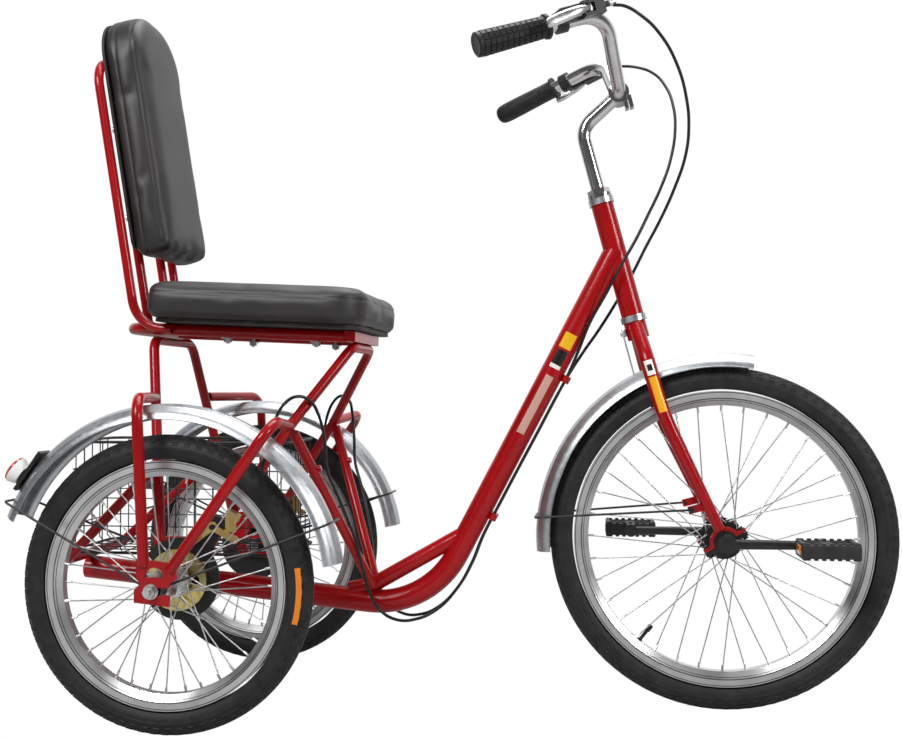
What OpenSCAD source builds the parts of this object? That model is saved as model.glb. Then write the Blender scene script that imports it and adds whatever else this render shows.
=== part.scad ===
/* [Overall] */
// Distance from the rear axle line to the front hub
wheelbase = 823; // [740:1:950]
// Distance between the middle planes of the two rear wheels
track = 480; // [450:1:600]
// Tilt of the head tube from the vertical, in degrees
head_tilt = 15; // [10:0.5:22]
// Height of the seat rails above the ground, at the rear hoop
rail_height = 604; // [590:1:700]

/* [Wheels] */
// Outer radius of the front tyre
front_tyre_r = 271.5; // [250:0.5:300]
// Outer radius of each rear tyre
rear_tyre_r = 220.5; // [195:0.5:228]
// Width of every tyre
tyre_w = 44; // [38:1:50]
// Thickness of the tyre casing
tyre_wall = 4; // [3:0.5:6]
// Width of the rims over their braking edges
rim_w = 31; // [27:1:32]
// Height of the rims
rim_h = 23; // [16:1:28]
// Sheet thickness of the rims
rim_wall = 1.8; // [1.2:0.2:3]
// Spokes in each wheel
spoke_count = 36; // [28:4:40]
// Diameter of a spoke
spoke_d = 2; // [1.8:0.1:3]

/* [Frame tubes] */
// Outer diameter of the long main tube
main_tube_d = 38; // [30:1:42]
// Wall of the main tube and the head tube
main_wall = 2; // [1.5:0.25:3]
// Bend radius of the main tube under the seat
main_bend_r = 150; // [110:5:200]
// Height of the main tube's low corner above the ground
main_low_z = 149; // [135:1:200]
// Outer diameter of the head tube
head_tube_d = 36; // [34:1:42]
// Length of the head tube
head_tube_len = 187; // [160:1:240]
// Outer diameter of the brace over the low bend
brace_d = 25.4; // [20:0.2:30]
// Outer diameter of the seat hoops, stays and struts
stay_d = 16; // [13:0.5:19]
// Wall of the thin tubes
stay_wall = 1.5; // [1:0.25:2.5]
// Thickness of the wheel plates
plate_t = 5; // [3:0.5:6]

/* [Seat] */
// Outer diameter of the seat rails
rail_d = 19; // [16:0.5:22]
// Distance between the two seat rails
rail_gap = 170; // [150:1:200]
// Seat slope, nose down, in degrees
seat_tilt = 2.6; // [0:0.1:5]
// Cushion length, front to back
cushion_l = 352; // [300:1:400]
// Cushion width
cushion_w = 326; // [280:1:380]
// Cushion thickness
cushion_t = 54; // [40:1:80]
// Lean of the backrest from the vertical, in degrees
back_lean = 9.4; // [5:0.1:20]
// Outer diameter of the backrest tubes
back_tube_d = 15; // [12:0.5:18]
// Width of the backrest cushion
back_w = 198; // [170:1:260]
// Height of the backrest cushion
back_h = 408; // [330:1:420]
// Thickness of the backrest cushion
back_t = 65; // [45:1:80]

/* [Steering] */
// Outer diameter of the steerer tube
steerer_d = 25.4; // [24:0.2:27]
// Outer diameter of the stem quill and the handlebar
bar_d = 22.2; // [21:0.2:24]
// Fork rake: how far the hub lies ahead of the steering axis
rake = 42; // [20:1:60]
// Distance between the fork blades' middles at the hub
fork_gap = 116; // [108:1:130]
// Length of the handlebar grips
grip_l = 118; // [100:1:135]
// Diameter of the grips
grip_d = 33; // [28:1:36]

/* [Drive] */
// Length of the cranks, axle to pedal spindle
crank_l = 140; // [110:1:150]
// Diameter of the crank axle in the front hub
crank_axle_d = 16; // [14:0.5:18]
// Length of a pedal, front to back
pedal_l = 84; // [70:1:95]
// Width of a pedal
pedal_w = 66; // [55:1:80]

/* [Rear axles] */
// Diameter of the threaded rear axles
axle_d = 10; // [9:0.5:12]
// Radial clearance of every turning fit
running_fit = 0.05; // [0.02:0.01:0.1]
// Gap between pieces that only lie next to each other
seat_gap = 0.3; // [0.2:0.05:0.5]
// Radius of the brake drums
drum_r = 46; // [40:1:50]
// Radius of the brake back plates
brake_plate_r = 62; // [54:1:66]

/* [Guards and carrier] */
// Gap from tyre to mudguard crown
guard_gap = 45; // [30:1:60]
// Width of the mudguards
guard_w = 58; // [50:1:64]
// Sheet thickness of the mudguards
guard_t = 1.5; // [1:0.25:2.5]
// Width of the wire basket
basket_w = 184; // [150:1:186]
// Diameter of the mudguard stay wire
wire_d = 3.5; // [3:0.25:5]
// Diameter of the brake cable housing
cable_d = 5; // [4:0.5:6]

/* [Hidden] */
$fn = 48;

RED = "firebrick";
STEEL = "silver";
CHROME = "gainsboro";
BLACK = "dimgray";
GOLD = "goldenrod";

// Places along the object, worked out from the sizes above
touch = 0.05;
main_r = main_tube_d / 2;
stay_r = stay_d / 2;
rail_r = rail_d / 2;
rail_y = rail_gap / 2;
back_r = back_tube_d / 2;
bar_r = bar_d / 2;
axle_r = axle_d / 2;
wire_r = wire_d / 2;
cable_r = cable_d / 2;
wheel_y = track / 2;
plate_out_y = wheel_y + 62;
plate_in_y = wheel_y - 62;
guard_r = rear_tyre_r + guard_gap;
front_guard_r = front_tyre_r + guard_gap / 2;
guard_end = 158;
rear_reach = -guard_r * cos(guard_end);
origin_x = (wheelbase + front_tyre_r - rear_reach) / 2;

// Steering axis frame: z runs up the head tube, x points forward, the hub lies at [rake, 0, 0]
head_low = 378;
head_high = head_low + head_tube_len;
quill_top = head_high + 128;
clamp_at = [rake + 30, 0, head_high + 165];
function steer_point(p) = [
    wheelbase + (p.x - rake) * cos(head_tilt) - p.z * sin(head_tilt),
    p.y,
    front_tyre_r + (p.x - rake) * sin(head_tilt) + p.z * cos(head_tilt)];
clamp_world = steer_point(clamp_at);

// Seat frame: x runs forward along the rails, z stands square to them
seat_x = -51;
rail_front = 283;
rail_back = -87;
function seat_point(p) = [
    seat_x + p.x * cos(seat_tilt) + p.z * sin(seat_tilt),
    p.y,
    rail_height - p.x * sin(seat_tilt) + p.z * cos(seat_tilt)];
back_foot_x = -57;
back_y = rail_y + rail_r + back_r + touch;

// Corners of the frame tubes
main_joint = steer_point([0, 0, head_low + 107]);
main_low = [353, 0, main_low_z];
main_tail = [-235, 0, main_low_z + 57];
main_path = [main_joint, main_low, main_tail];
brace_back = [222, 0, main_low_z + 28];
brace_mid = [262, 0, main_low_z + 37];
brace_top = [405, 0, main_low_z + 119];
joint = [159, 149, 451];
strut_foot = [262, stay_r + 6, main_low_z + 36];
front_hoop_top = seat_point([rail_front + 9, rail_y - 13, -8 - stay_r - touch]);
rear_hoop_top = seat_point([-33, rail_y + 2, -rail_r - stay_r - touch]);
front_hoop_foot = [44, plate_in_y, rear_tyre_r + 52];
rear_hoop_foot = [-36, plate_in_y, rear_tyre_r + 50];
stay_top_z = rear_tyre_r + guard_r + stay_r + seat_gap;
rear_stay_root = mix(rear_hoop_top, rear_hoop_foot, (rear_hoop_top.z - stay_top_z) /
    (rear_hoop_top.z - rear_hoop_foot.z));
rear_stay_top = [-24, plate_out_y, stay_top_z];
rear_stay_foot = [-12, plate_out_y, rear_tyre_r + 36];
front_stay_top = [177, plate_out_y, 462];
front_stay_foot = [27, plate_out_y, rear_tyre_r + 30];
carrier_foot = [-222, 106, mix(main_low, main_tail, 0.978).z + main_r * 1.005 + stay_r + seat_gap];
carrier_top = mix(rear_hoop_top, rear_hoop_foot, 0.62);

// Handlebar corners, measured from the stem clamp
bar_hub = clamp_world;
bar_inner = clamp_world + [0, 30, 0];
bar_corner = clamp_world + [-23, 135, 92];
bar_end = clamp_world + [-206, 213, 25];
grip_yaw = atan2(bar_corner.y - bar_end.y, bar_corner.x - bar_end.x);
grip_pitch = atan2(bar_corner.z - bar_end.z, norm([bar_corner.x - bar_end.x, bar_corner.y - bar_end.y]));

// Routes of the two brake cables, chosen by hand, in millimetres from the rear axle line.
// Each front part runs from a lever to the far side of the head tube and down to the low bend;
// both then share the rear part, which is listed for the right side and flipped for the left.
right_lever_route = [[652, -163, 1076], [668, -160, 1075], [692, -150, 1064], [722, -126, 1042],
    [750, -96, 1002], [766, -68, 956], [771, -45, 920], [768, -20, 880], [751, 6, 829], [730, 22, 783],
    [706, 30, 738], [685, 31, 696], [656, 27, 645], [629, 17, 602], [604, 9, 566], [578, 6, 525],
    [560, 6, 492], [530, 6, 435], [500, 6, 379], [470, 6, 322], [442, 6, 268], [424, 8, 224]];
left_lever_route = [[652, 163, 1076], [672, 162, 1077], [700, 156, 1072], [726, 142, 1057],
    [746, 118, 1026], [756, 92, 988], [758, 68, 945], [748, 36, 884], [730, 6, 832], [709, -18, 786],
    [689, -30, 745], [668, -32, 708], [642, -28, 660], [616, -18, 614], [598, -10, 570], [578, -6, 525],
    [560, -6, 492], [530, -6, 435], [500, -6, 379], [470, -6, 322], [442, -6, 268], [424, -8, 224]];
rear_route = [[398, -11, 180], [366, -14, 148], [334, -20, 134], [304, -28, 134], [278, -34, 150],
    [262, -42, 180], [252, -48, 220], [244, -60, 262], [232, -78, 305], [219, -93, 345], [207, -104, 380],
    [204, -109, 425], [198, -122, 465], [187, -140, 490], [171, -153, 496], [155, -163, 486],
    [142, -169, 462], [134, -176, 430], [126, -184, 390], [112, -190, 358], [99, -194, 336]];

function mix(a, b, t) = a + (b - a) * t;
function unit(v) = v / norm(v);
function flip(p) = [p.x, -p.y, p.z];

module mirrored() {
    children();
    mirror([0, 1, 0]) children();
}

// A round bar from one point to another; r2 makes it taper
module rod(a, b, r, r2 = 0) {
    d = b - a;
    translate(a) rotate([0, acos(d.z / norm(d)), atan2(d.y, d.x)])
        cylinder(h = norm(d), r1 = r, r2 = r2 > 0 ? r2 : r);
}

// Straight length of a bend, from the corner to where the arc starts
function bend_run(a, b, c, bend) = bend * tan(acos(unit(b - a) * unit(c - b)) / 2);

// The arc of one tube bend at corner b
module elbow(a, b, c, r, bend) {
    u = unit(b - a);
    v = unit(c - b);
    turn = acos(u * v);
    start = b - u * bend_run(a, b, c, bend);
    middle = b + unit(v - u) * bend / cos(turn / 2);
    x = (start - middle) / bend;
    w = cross(x, u);
    multmatrix([[x.x, u.x, w.x, middle.x], [x.y, u.y, w.y, middle.y], [x.z, u.z, w.z, middle.z], [0, 0, 0, 1]])
        rotate_extrude(angle = turn) translate([bend, 0]) circle(r);
}

// A bar of radius r along corner points, each inner corner bent at the matching radius.
// The straights lap over the bends, which are a hair thinner, so that the pieces fuse.
lap = 0.3;
thinner = 0.02;
module pipe(points, r, bends) {
    last = len(points) - 1;
    for (i = [0:last - 1]) {
        from = i == 0 ? 0 : bend_run(points[i - 1], points[i], points[i + 1], bends[i - 1]) - lap;
        to = i == last - 1 ? 0 : bend_run(points[i], points[i + 1], points[i + 2], bends[i]) - lap;
        way = unit(points[i + 1] - points[i]);
        rod(points[i] + way * from, points[i + 1] - way * to, r);
    }
    for (i = [1:last - 1]) elbow(points[i - 1], points[i], points[i + 1], r - thinner, bends[i - 1]);
}

// The same as a tube; its bore runs a little past both ends so that they are open
module hollow_pipe(points, r, wall, bends) {
    last = len(points) - 1;
    past = [for (i = [0:last]) points[i] + (i == 0 ? unit(points[0] - points[1])
        : i == last ? unit(points[last] - points[last - 1]) : [0, 0, 0])];
    difference() {
        pipe(points, r, bends);
        pipe(past, r - wall, bends);
    }
}

// How far from the middle of a tube (direction t, radius rt) a flat-ended bar has to stop
function stand_off(way, r, t, rt) =
    let (c = abs(unit(way) * unit(t))) (rt + seat_gap + r * c) / sqrt(1 - c * c);

// A thin cable swept along its route, one ring of eight corners for each point
module cable(route, r) {
    sides = 8;
    last = len(route) - 1;
    function way(i) = unit(route[min(i + 1, last)] - route[max(i - 1, 0)]);
    rings = [for (i = [0:last])
        let (t = way(i), s = unit(cross(t, [0.31, 0.95, 0.05])), n = cross(s, t))
        for (k = [0:sides - 1]) route[i] + r * (cos(360 * k / sides) * s + sin(360 * k / sides) * n)];
    skin = [for (i = [0:last - 1]) for (k = [0:sides - 1])
        [i * sides + k, i * sides + (k + 1) % sides, (i + 1) * sides + (k + 1) % sides, (i + 1) * sides + k]];
    ends = [[for (k = [sides - 1:-1:0]) k], [for (k = [0:sides - 1]) last * sides + k]];
    polyhedron(rings, concat(skin, ends));
}

module at_rear_wheel(side) { translate([0, side * wheel_y, rear_tyre_r]) children(); }
module at_front_wheel() { translate([wheelbase, 0, front_tyre_r]) children(); }
module at_steering() {
    translate([wheelbase, 0, front_tyre_r]) rotate([0, -head_tilt, 0]) translate([-rake, 0, 0]) children();
}
module at_seat() { translate([seat_x, 0, rail_height]) rotate([0, seat_tilt, 0]) children(); }
module at_backrest() {
    translate(seat_point([back_foot_x, 0, 0])) rotate([0, -back_lean, 0]) children();
}
// Right-hand grip frame: x runs forward along the bar, y points inboard
module at_grip(side) {
    mirror([0, side > 0 ? 1 : 0, 0])
        translate(flip(bar_end)) rotate([0, 0, -grip_yaw]) rotate([0, -grip_pitch, 0]) children();
}
module across(y0, y1, r) { translate([0, y0, 0]) rotate([-90, 0, 0]) cylinder(h = y1 - y0, r = r); }
module upright_plate(t) { translate([0, t / 2, 0]) rotate([90, 0, 0]) linear_extrude(t) children(); }

// Tube shapes that several pieces are cut to
module main_shape() { pipe(main_path, main_r, [main_bend_r]); }
module head_shape(r = head_tube_d / 2) {
    at_steering() translate([0, 0, head_low]) cylinder(h = head_tube_len, r = r);
}
module brace_shape() { pipe([brace_back, brace_mid, brace_top], brace_d / 2, [60]); }
rear_hoop_path = [rear_hoop_foot, rear_hoop_top, flip(rear_hoop_top), flip(rear_hoop_foot)];
module rear_hoop_shape() { pipe(rear_hoop_path, stay_r, [28, 28]); }
module struts_shape() {
    way = unit(joint - strut_foot);
    stop = joint - way * stand_off(way, stay_r, joint - front_hoop_foot, stay_r);
    mirrored() rod(strut_foot, stop, stay_r);
}
rail_path = [[rail_front, -rail_y, 0], [rail_back, -rail_y, 0], [rail_back, rail_y, 0], [rail_front, rail_y, 0]];
module rail_shape() { at_seat() pipe(rail_path, rail_r, [58, 58]); }
module plate_shape(outline, side, y) {
    translate([0, side * y, rear_tyre_r]) upright_plate(plate_t) difference() {
        polygon(outline);
        translate([0, -axle_r - seat_gap]) square([60, axle_d + 2 * seat_gap]);
        circle(axle_r + seat_gap);
        intersection() {
            translate([5, 20]) circle(14);
            translate([-20, 20]) square([50, 15]);
        }
    }
}
outer_outline = [[-22, 46], [37, 40], [37, 18], [27, 11], [27, -21], [-25, -16], [-25, 2], [-16, 10], [-22, 20]];
inner_outline = [[-48, 62], [56, 62], [38, 12], [27, -21], [-25, -16], [-36, 12]];
module outer_plates_shape() {
    for (side = [-1, 1]) plate_shape(outer_outline, side, plate_out_y);
}
module inner_plates_shape() {
    for (side = [-1, 1]) plate_shape(inner_outline, side, plate_in_y);
}

module main_tube() {
    color(RED) difference() {
        hollow_pipe(main_path, main_r, main_wall, [main_bend_r]);
        head_shape();
    }
}
module head_tube() {
    color(RED) difference() {
        head_shape();
        head_shape(head_tube_d / 2 - main_wall - 1);
    }
}
module brace_tube() {
    color(RED) difference() {
        brace_shape();
        main_shape();
    }
}
module seat_struts() {
    color(RED) difference() {
        struts_shape();
        main_shape();
        brace_shape();
    }
}
module front_seat_hoop() {
    color(RED) difference() {
        hollow_pipe([front_hoop_foot, joint, front_hoop_top, flip(front_hoop_top), flip(joint),
            flip(front_hoop_foot)], stay_r, stay_wall, [60, 28, 28, 60]);
        inner_plates_shape();
    }
}
module rear_seat_hoop() {
    color(RED) difference() {
        hollow_pipe(rear_hoop_path, stay_r, stay_wall, [28, 28]);
        inner_plates_shape();
    }
}
module outer_stays() {
    rear_way = unit(rear_stay_top - rear_stay_root);
    rear_start = rear_stay_root + rear_way * stand_off(rear_way, stay_r, rear_hoop_foot - rear_hoop_top, stay_r);
    front_way = unit(front_stay_top - joint);
    front_start = joint + front_way * stand_off(front_way, stay_r, joint - front_hoop_foot, stay_r);
    color(RED) difference() {
        mirrored() {
            hollow_pipe([rear_start, rear_stay_top, rear_stay_foot], stay_r, stay_wall, [34]);
            hollow_pipe([front_start, front_stay_top, front_stay_foot], stay_r, stay_wall, [34]);
        }
        outer_plates_shape();
    }
}
module outer_dropouts() { color(RED) outer_plates_shape(); }
module inner_dropouts() { color(RED) inner_plates_shape(); }
module carrier_tubes() {
    way = unit(carrier_top - carrier_foot);
    end = carrier_top - way * stand_off(way, stay_r, rear_hoop_foot - rear_hoop_top, stay_r);
    color(RED) hollow_pipe([flip(end), flip(carrier_foot), carrier_foot, end], stay_r, stay_wall, [14, 14]);
}
module seat_rail() {
    color(RED) at_seat() hollow_pipe(rail_path, rail_r, stay_wall, [58, 58]);
}
module seat_crossbars() {
    color(RED) difference() {
        union() {
            at_seat() translate([rail_front, -rail_y - 12, -8]) cube([18, rail_gap + 24, 16]);
            at_seat() translate([back_foot_x, 0, 0]) across(10 - rail_y, rail_y - 10, stay_r);
        }
        rail_shape();
    }
}
module backrest_hoop() {
    color(RED)
        hollow_pipe([seat_point([2, -back_y, 0]), seat_point([back_foot_x, -back_y, 0]), back_point([0, -back_y, 447]),
            back_point([0, back_y, 447]), seat_point([back_foot_x, back_y, 0]), seat_point([2, back_y, 0])],
            back_r, stay_wall, [55, 50, 50, 55]);
}
function back_point(p) = seat_point([back_foot_x, 0, 0]) +
    [p.x * cos(back_lean) - p.z * sin(back_lean), p.y, p.x * sin(back_lean) + p.z * cos(back_lean)];
module backrest_inner_hoop() {
    color(RED) difference() {
        at_backrest() pipe([[0, -48, 0], [0, -48, 400], [0, 48, 400], [0, 48, 0]], back_r, [40, 40]);
        at_seat() translate([back_foot_x, 0, 0]) across(-rail_y, rail_y, stay_r);
    }
}

// Seat height layers, measured square to the rails
board_low = rail_r + seat_gap;
board_t = 6;
cushion_low = board_low + board_t + seat_gap;
cushion_back = -26;
module seat_board() {
    color(BLACK) at_seat() translate([cushion_back + 12, 0, board_low]) linear_extrude(board_t)
        rounded_rect(cushion_l - 24, cushion_w - 44, 30, 12);
}
module seat_cushion() {
    color(BLACK) at_seat() translate([cushion_back, 0, cushion_low]) linear_extrude(cushion_t)
        rounded_rect(cushion_l, cushion_w, 46, 18);
}
// A rectangle from x = 0 and centred across; its front corners have radius r, its back ones q
module rounded_rect(l, w, r, q) {
    difference() {
        translate([0, -w / 2]) square([l, w]);
        for (y = [-w / 2, w / 2]) {
            translate([-1, y < 0 ? y - 1 : y - q]) square(q + 1);
            translate([l - r, y < 0 ? y - 1 : y - r]) square(r + 1);
        }
    }
    for (side = [-1, 1]) {
        translate([q, side * (w / 2 - q)]) circle(q);
        translate([l - r, side * (w / 2 - r)]) circle(r);
    }
}
board_front = back_r + seat_gap;
back_board_t = 4;
pad_low = 122;
// Backrest outline, standing up with a round top; the height is over all
module backrest_outline(w, h) {
    shoulder = w * 0.42;
    translate([-w / 2, 14]) square([w, h - 14 - shoulder]);
    translate([14 - w / 2, 0]) square([w - 28, 20]);
    for (x = [14 - w / 2, w / 2 - 14]) translate([x, 14]) circle(14);
    for (x = [shoulder - w / 2, w / 2 - shoulder]) translate([x, h - shoulder]) circle(shoulder);
    translate([shoulder - w / 2, h - shoulder]) square([w - 2 * shoulder, shoulder]);
}
module backrest_board() {
    color(BLACK) at_backrest() translate([board_front, 0, pad_low + 8])
        rotate([90, 0, 90]) linear_extrude(back_board_t) backrest_outline(back_w - 16, back_h - 16);
}
module backrest_cushion() {
    color(BLACK) at_backrest() translate([board_front + back_board_t + seat_gap, 0, pad_low])
        rotate([90, 0, 90]) linear_extrude(back_t) backrest_outline(back_w, back_h);
}
// Seat bolts hang from the board just inside the rails and clamp them with a strap;
// backrest screws sit in the sides of the inner hoop
module seat_bolts() {
    color(STEEL) {
        at_seat() for (x = [85, 232]) mirrored() translate([x, rail_y - rail_r - 7, 0]) {
            translate([0, 0, -rail_r - 9]) cylinder(h = board_low + rail_r + 9 - touch, r = 3);
            translate([0, 0, -rail_r - 7]) cylinder(h = 5, r = 6.5);
            translate([-6, -5, -rail_r - touch - 2]) cube([12, 22, 2]);
        }
        at_backrest() for (z = [190, 340]) mirrored() translate([-back_r - 3 - touch, 48, z])
            rotate([0, 90, 0]) cylinder(h = 3, r = 5);
    }
}

module headset_cups() {
    color(STEEL) at_steering() {
        for (z = [head_low - 10, head_high]) translate([0, 0, z]) difference() {
            cylinder(h = 10, r = head_tube_d / 2 + 2.5);
            translate([0, 0, -1]) cylinder(h = 12, r = steerer_d / 2 + seat_gap);
        }
    }
}
// Two-hole guides under the main tube and one open saddle on each strut
module cable_guides() {
    way = unit(main_low - main_joint);
    out = [-way.z, 0, way.x];
    color(RED) difference() {
        for (place = [[0.335, 25], [0.72, 23.7]], y = [-6, 6]) {
            middle = mix(main_joint, main_low, place[0]) + out * place[1] + [0, y, 0];
            difference() {
                rod(middle - way * 6, middle + way * 6, cable_r + 4.2);
                rod(middle - way * 7, middle + way * 7, cable_r + 1);
                translate([0, y > 0 ? -20 : 0, 0]) cube([900, 20, 900]);
            }
        }
        main_shape();
    }
    color(RED) mirrored() difference() {
        spot = mix(strut_foot, joint, 0.74);
        rod(spot + [5, -4, 0], spot + [13, -4, 2], 5);
        struts_shape();
    }
}
module cable_right() { color(BLACK) cable(concat(right_lever_route, [for (p = rear_route) flip(p)]), cable_r); }
module cable_left() { color(BLACK) cable(concat(left_lever_route, rear_route), cable_r); }

// Mudguard: a half-round channel swept round the wheel, from one angle to another
module guard(r, from, to) {
    dome = guard_w / 2 + 2;
    rotate([90, 0, 0]) rotate([0, 0, from]) rotate_extrude(angle = to - from, $fn = 180) difference() {
        translate([r - dome, 0]) circle(dome);
        translate([r - dome, 0]) circle(dome - guard_t);
        translate([r - 2 * dome - 1, -dome - 1]) square([dome + 10, 2 * dome + 2]);
    }
}
module rear_guard(side) { color(STEEL) at_rear_wheel(side) guard(guard_r, 8, guard_end); }
module rear_fender_right() { rear_guard(-1); }
module rear_fender_left() { rear_guard(1); }
function spin(a, r) = [r * cos(a), 0, r * sin(a)];
// Each wire starts at an eye on the axle, crosses the mudguard and ends on the inner plate
module rear_fender_stays() {
    over = guard_r + wire_r + seat_gap;
    half = guard_w / 2 + 4;
    inner_y = 62 - plate_t / 2 - seat_gap - wire_r;
    color(BLACK) for (side = [-1, 1]) at_rear_wheel(side) {
        for (a = [21, 153]) {
            outer_eye = [a > 90 ? -9 : 9, side * 56, 3];
            inner_end = [a > 90 ? -36 : 40, side * -inner_y, 40];
            pipe([outer_eye, spin(a, over) + [0, side * half, 0], spin(a, over) - [0, side * half, 0], inner_end],
                wire_r, [8, 8]);
        }
        translate([0, side * 56, 0]) difference() {
            across(-wire_r, wire_r, 12);
            across(-wire_r - 1, wire_r + 1, axle_r + seat_gap);
        }
    }
}

// Tail lamp on the right mudguard, standing square to it
lamp_angle = 145;
module at_lamp() {
    at_rear_wheel(-1) rotate([0, 90 - lamp_angle, 0]) translate([0, 0, guard_r + seat_gap]) children();
}
module lamp_bracket() {
    color(BLACK) at_lamp() {
        translate([-20, -17, 0]) cube([68, 34, 5]);
        cylinder(h = 9, r = 12);
    }
}
module lamp_housing() {
    color("white") at_lamp() translate([0, 0, 9 + seat_gap]) difference() {
        cylinder(h = 14, r1 = 16, r2 = 21);
        translate([0, 0, 4]) cylinder(h = 11, r = 15);
    }
}
module lamp_lens() {
    color("red") at_lamp() translate([0, 0, 23 + 2 * seat_gap]) rotate_extrude() intersection() {
        translate([0, -22]) circle(32);
        square([20, 12]);
    }
}

basket_low = carrier_foot.z + stay_r + seat_gap;
basket_high = 424;
basket_wall = 3;
basket_l = 372;
basket_x = -232;
// The basket stands on the carrier's cross tube and hooks over its two side tubes
module basket() {
    color(BLACK) {
        translate([basket_x, -basket_w / 2, basket_low]) difference() {
            cube([basket_l, basket_w, basket_high - basket_low]);
            translate([basket_wall, basket_wall, basket_wall])
                cube([basket_l - 2 * basket_wall, basket_w - 2 * basket_wall, basket_high]);
        }
        for (x = [-170, -100]) mirrored() {
            over = mix(carrier_foot, carrier_top, (x - carrier_foot.x) / (carrier_top.x - carrier_foot.x));
            slope = norm(carrier_top - carrier_foot) / (carrier_top.x - carrier_foot.x);
            z = over.z + (stay_r + seat_gap + wire_r) * slope;
            rod([x, basket_w / 2 - 1, z], [x, over.y + stay_r, z], wire_r);
        }
    }
}

module rear_axles() {
    color(STEEL) for (side = [-1, 1]) at_rear_wheel(side) across(-82, 82, axle_r);
}
module hex_nut(y, t, key, bore) {
    translate([0, y, 0]) rotate([-90, 0, 0]) difference() {
        cylinder(h = t, r = key / sqrt(3), $fn = 6);
        translate([0, 0, -1]) cylinder(h = t + 2, r = bore);
    }
}
module axle_nuts() {
    half_t = plate_t / 2;
    color(STEEL) for (side = [-1, 1], end = [-1, 1]) at_rear_wheel(side) {
        washer = 62 + half_t + 0.02;
        translate([0, end > 0 ? washer : -washer - 1.6, 0]) difference() {
            across(0, 1.6, 11);
            across(-1, 3, axle_r + 0.02);
        }
        hex_nut(end > 0 ? washer + 1.64 : -washer - 1.64 - 8, 8, 16, axle_r + 0.02);
        locknut = 62 - half_t - 4.02;
        if (end * side < 0) hex_nut(end > 0 ? locknut : -locknut - 4, 4, 17, axle_r + 0.02);
    }
}

// Brakes: a round back plate with an ear for the arm's pivot, and a cable stop
pivot = [53, 0, 79.5];
stop_at = [84, 0, 97];
module brake_plate_outline() {
    circle(brake_plate_r);
    rotate(56.3) translate([0, -16]) square([norm(pivot), 32]);
    translate([pivot.x, pivot.z]) circle(16.5);
    translate([pivot.x, pivot.z - 8]) square([34, 20]);
}
module brake_plates() {
    color(BLACK) for (side = [-1, 1]) at_rear_wheel(side) {
        difference() {
            translate([0, side * -50, 0]) upright_plate(4) brake_plate_outline();
            across(-70, 70, axle_r + seat_gap);
        }
        translate([pivot.x, 0, pivot.z]) across(side > 0 ? -48 : 38, side > 0 ? -38 : 48, 4);
        translate(stop_at) rotate([0, 30, 0]) translate([-10, side > 0 ? -51.98 : 37.98, -7]) cube([20, 14, 13]);
    }
}
module brake_arm(side) {
    legs = [[19 - pivot.x, 54 - pivot.z], [87 - pivot.x, 60.5 - pivot.z]];
    color(GOLD) at_rear_wheel(side) translate([pivot.x, side * -44, pivot.z]) difference() {
        upright_plate(5) {
            circle(8);
            for (leg = legs) {
                rotate(atan2(leg.y, leg.x)) translate([0, -5]) square([norm(leg), 10]);
                translate(leg) circle(6);
            }
        }
        across(-10, 10, 4 + running_fit);
    }
}
module brake_arm_right() { brake_arm(-1); }
module brake_arm_left() { brake_arm(1); }

// Wheels, each turned about its own axle line
module tyre(r) {
    bead = tyre_w / 2 - 6;
    core = r - tyre_w / 2;
    rotate([90, 0, 0]) rotate_extrude($fn = 96) difference() {
        translate([core, 0]) circle(tyre_w / 2);
        translate([core, 0]) circle(tyre_w / 2 - tyre_wall);
        translate([core - tyre_w, -tyre_w]) square([tyre_w - bead - seat_gap / 2, 2 * tyre_w]);
    }
}
function rim_edge(r) = r - tyre_w / 2 - (tyre_w / 2 - 6) - seat_gap;
module rim(r) {
    top = rim_edge(r);
    low = top - rim_h;
    mid = top - rim_h * 0.55;
    w = rim_w / 2;
    k = rim_wall;
    rotate([90, 0, 0]) rotate_extrude($fn = 96) polygon([[top, -w], [mid, -w + 1], [low, -7], [low, 7],
        [mid, w - 1], [top, w], [top, w - k], [mid + 1, w - 1 - k], [low + k, 6], [low + k, -6],
        [mid + 1, 1 + k - w], [top, k - w]]);
}
// Spokes leave each flange at a slant, half of them leaning each way
module spokes(r, flange_r, flange_y) {
    low = rim_edge(r) - rim_h;
    for (i = [0:spoke_count - 1]) {
        side = i % 2 == 0 ? 1 : -1;
        lean = floor(i / 2) % 2 == 0 ? 1 : -1;
        a = i * 360 / spoke_count;
        foot = spin(a - lean * 48, flange_r - 3) + [0, side * (flange_y + (lean > 0 ? 3.9 : -2.7)), 0];
        rod(foot, spin(a, low - seat_gap) + [0, side * 3.5, 0], spoke_d / 2);
    }
}
module hub_shell(half, shell_r, flange_r, flange_y, bore) {
    difference() {
        union() {
            across(-half, half, shell_r);
            for (y = [-flange_y, flange_y]) translate([0, y, 0]) across(-1.5, 1.5, flange_r);
        }
        across(-half - 1, half + 1, bore);
    }
}
module rear_tyre_right() { color(BLACK) at_rear_wheel(-1) tyre(rear_tyre_r); }
module rear_tyre_left() { color(BLACK) at_rear_wheel(1) tyre(rear_tyre_r); }
module rear_rim_right() { color(CHROME) at_rear_wheel(-1) rim(rear_tyre_r); }
module rear_rim_left() { color(CHROME) at_rear_wheel(1) rim(rear_tyre_r); }
rear_flange_r = 24;
rear_flange_y = 26;
module rear_spokes_right() { color(STEEL) at_rear_wheel(-1) spokes(rear_tyre_r, rear_flange_r, rear_flange_y); }
module rear_spokes_left() { color(STEEL) at_rear_wheel(1) spokes(rear_tyre_r, rear_flange_r, rear_flange_y); }
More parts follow.
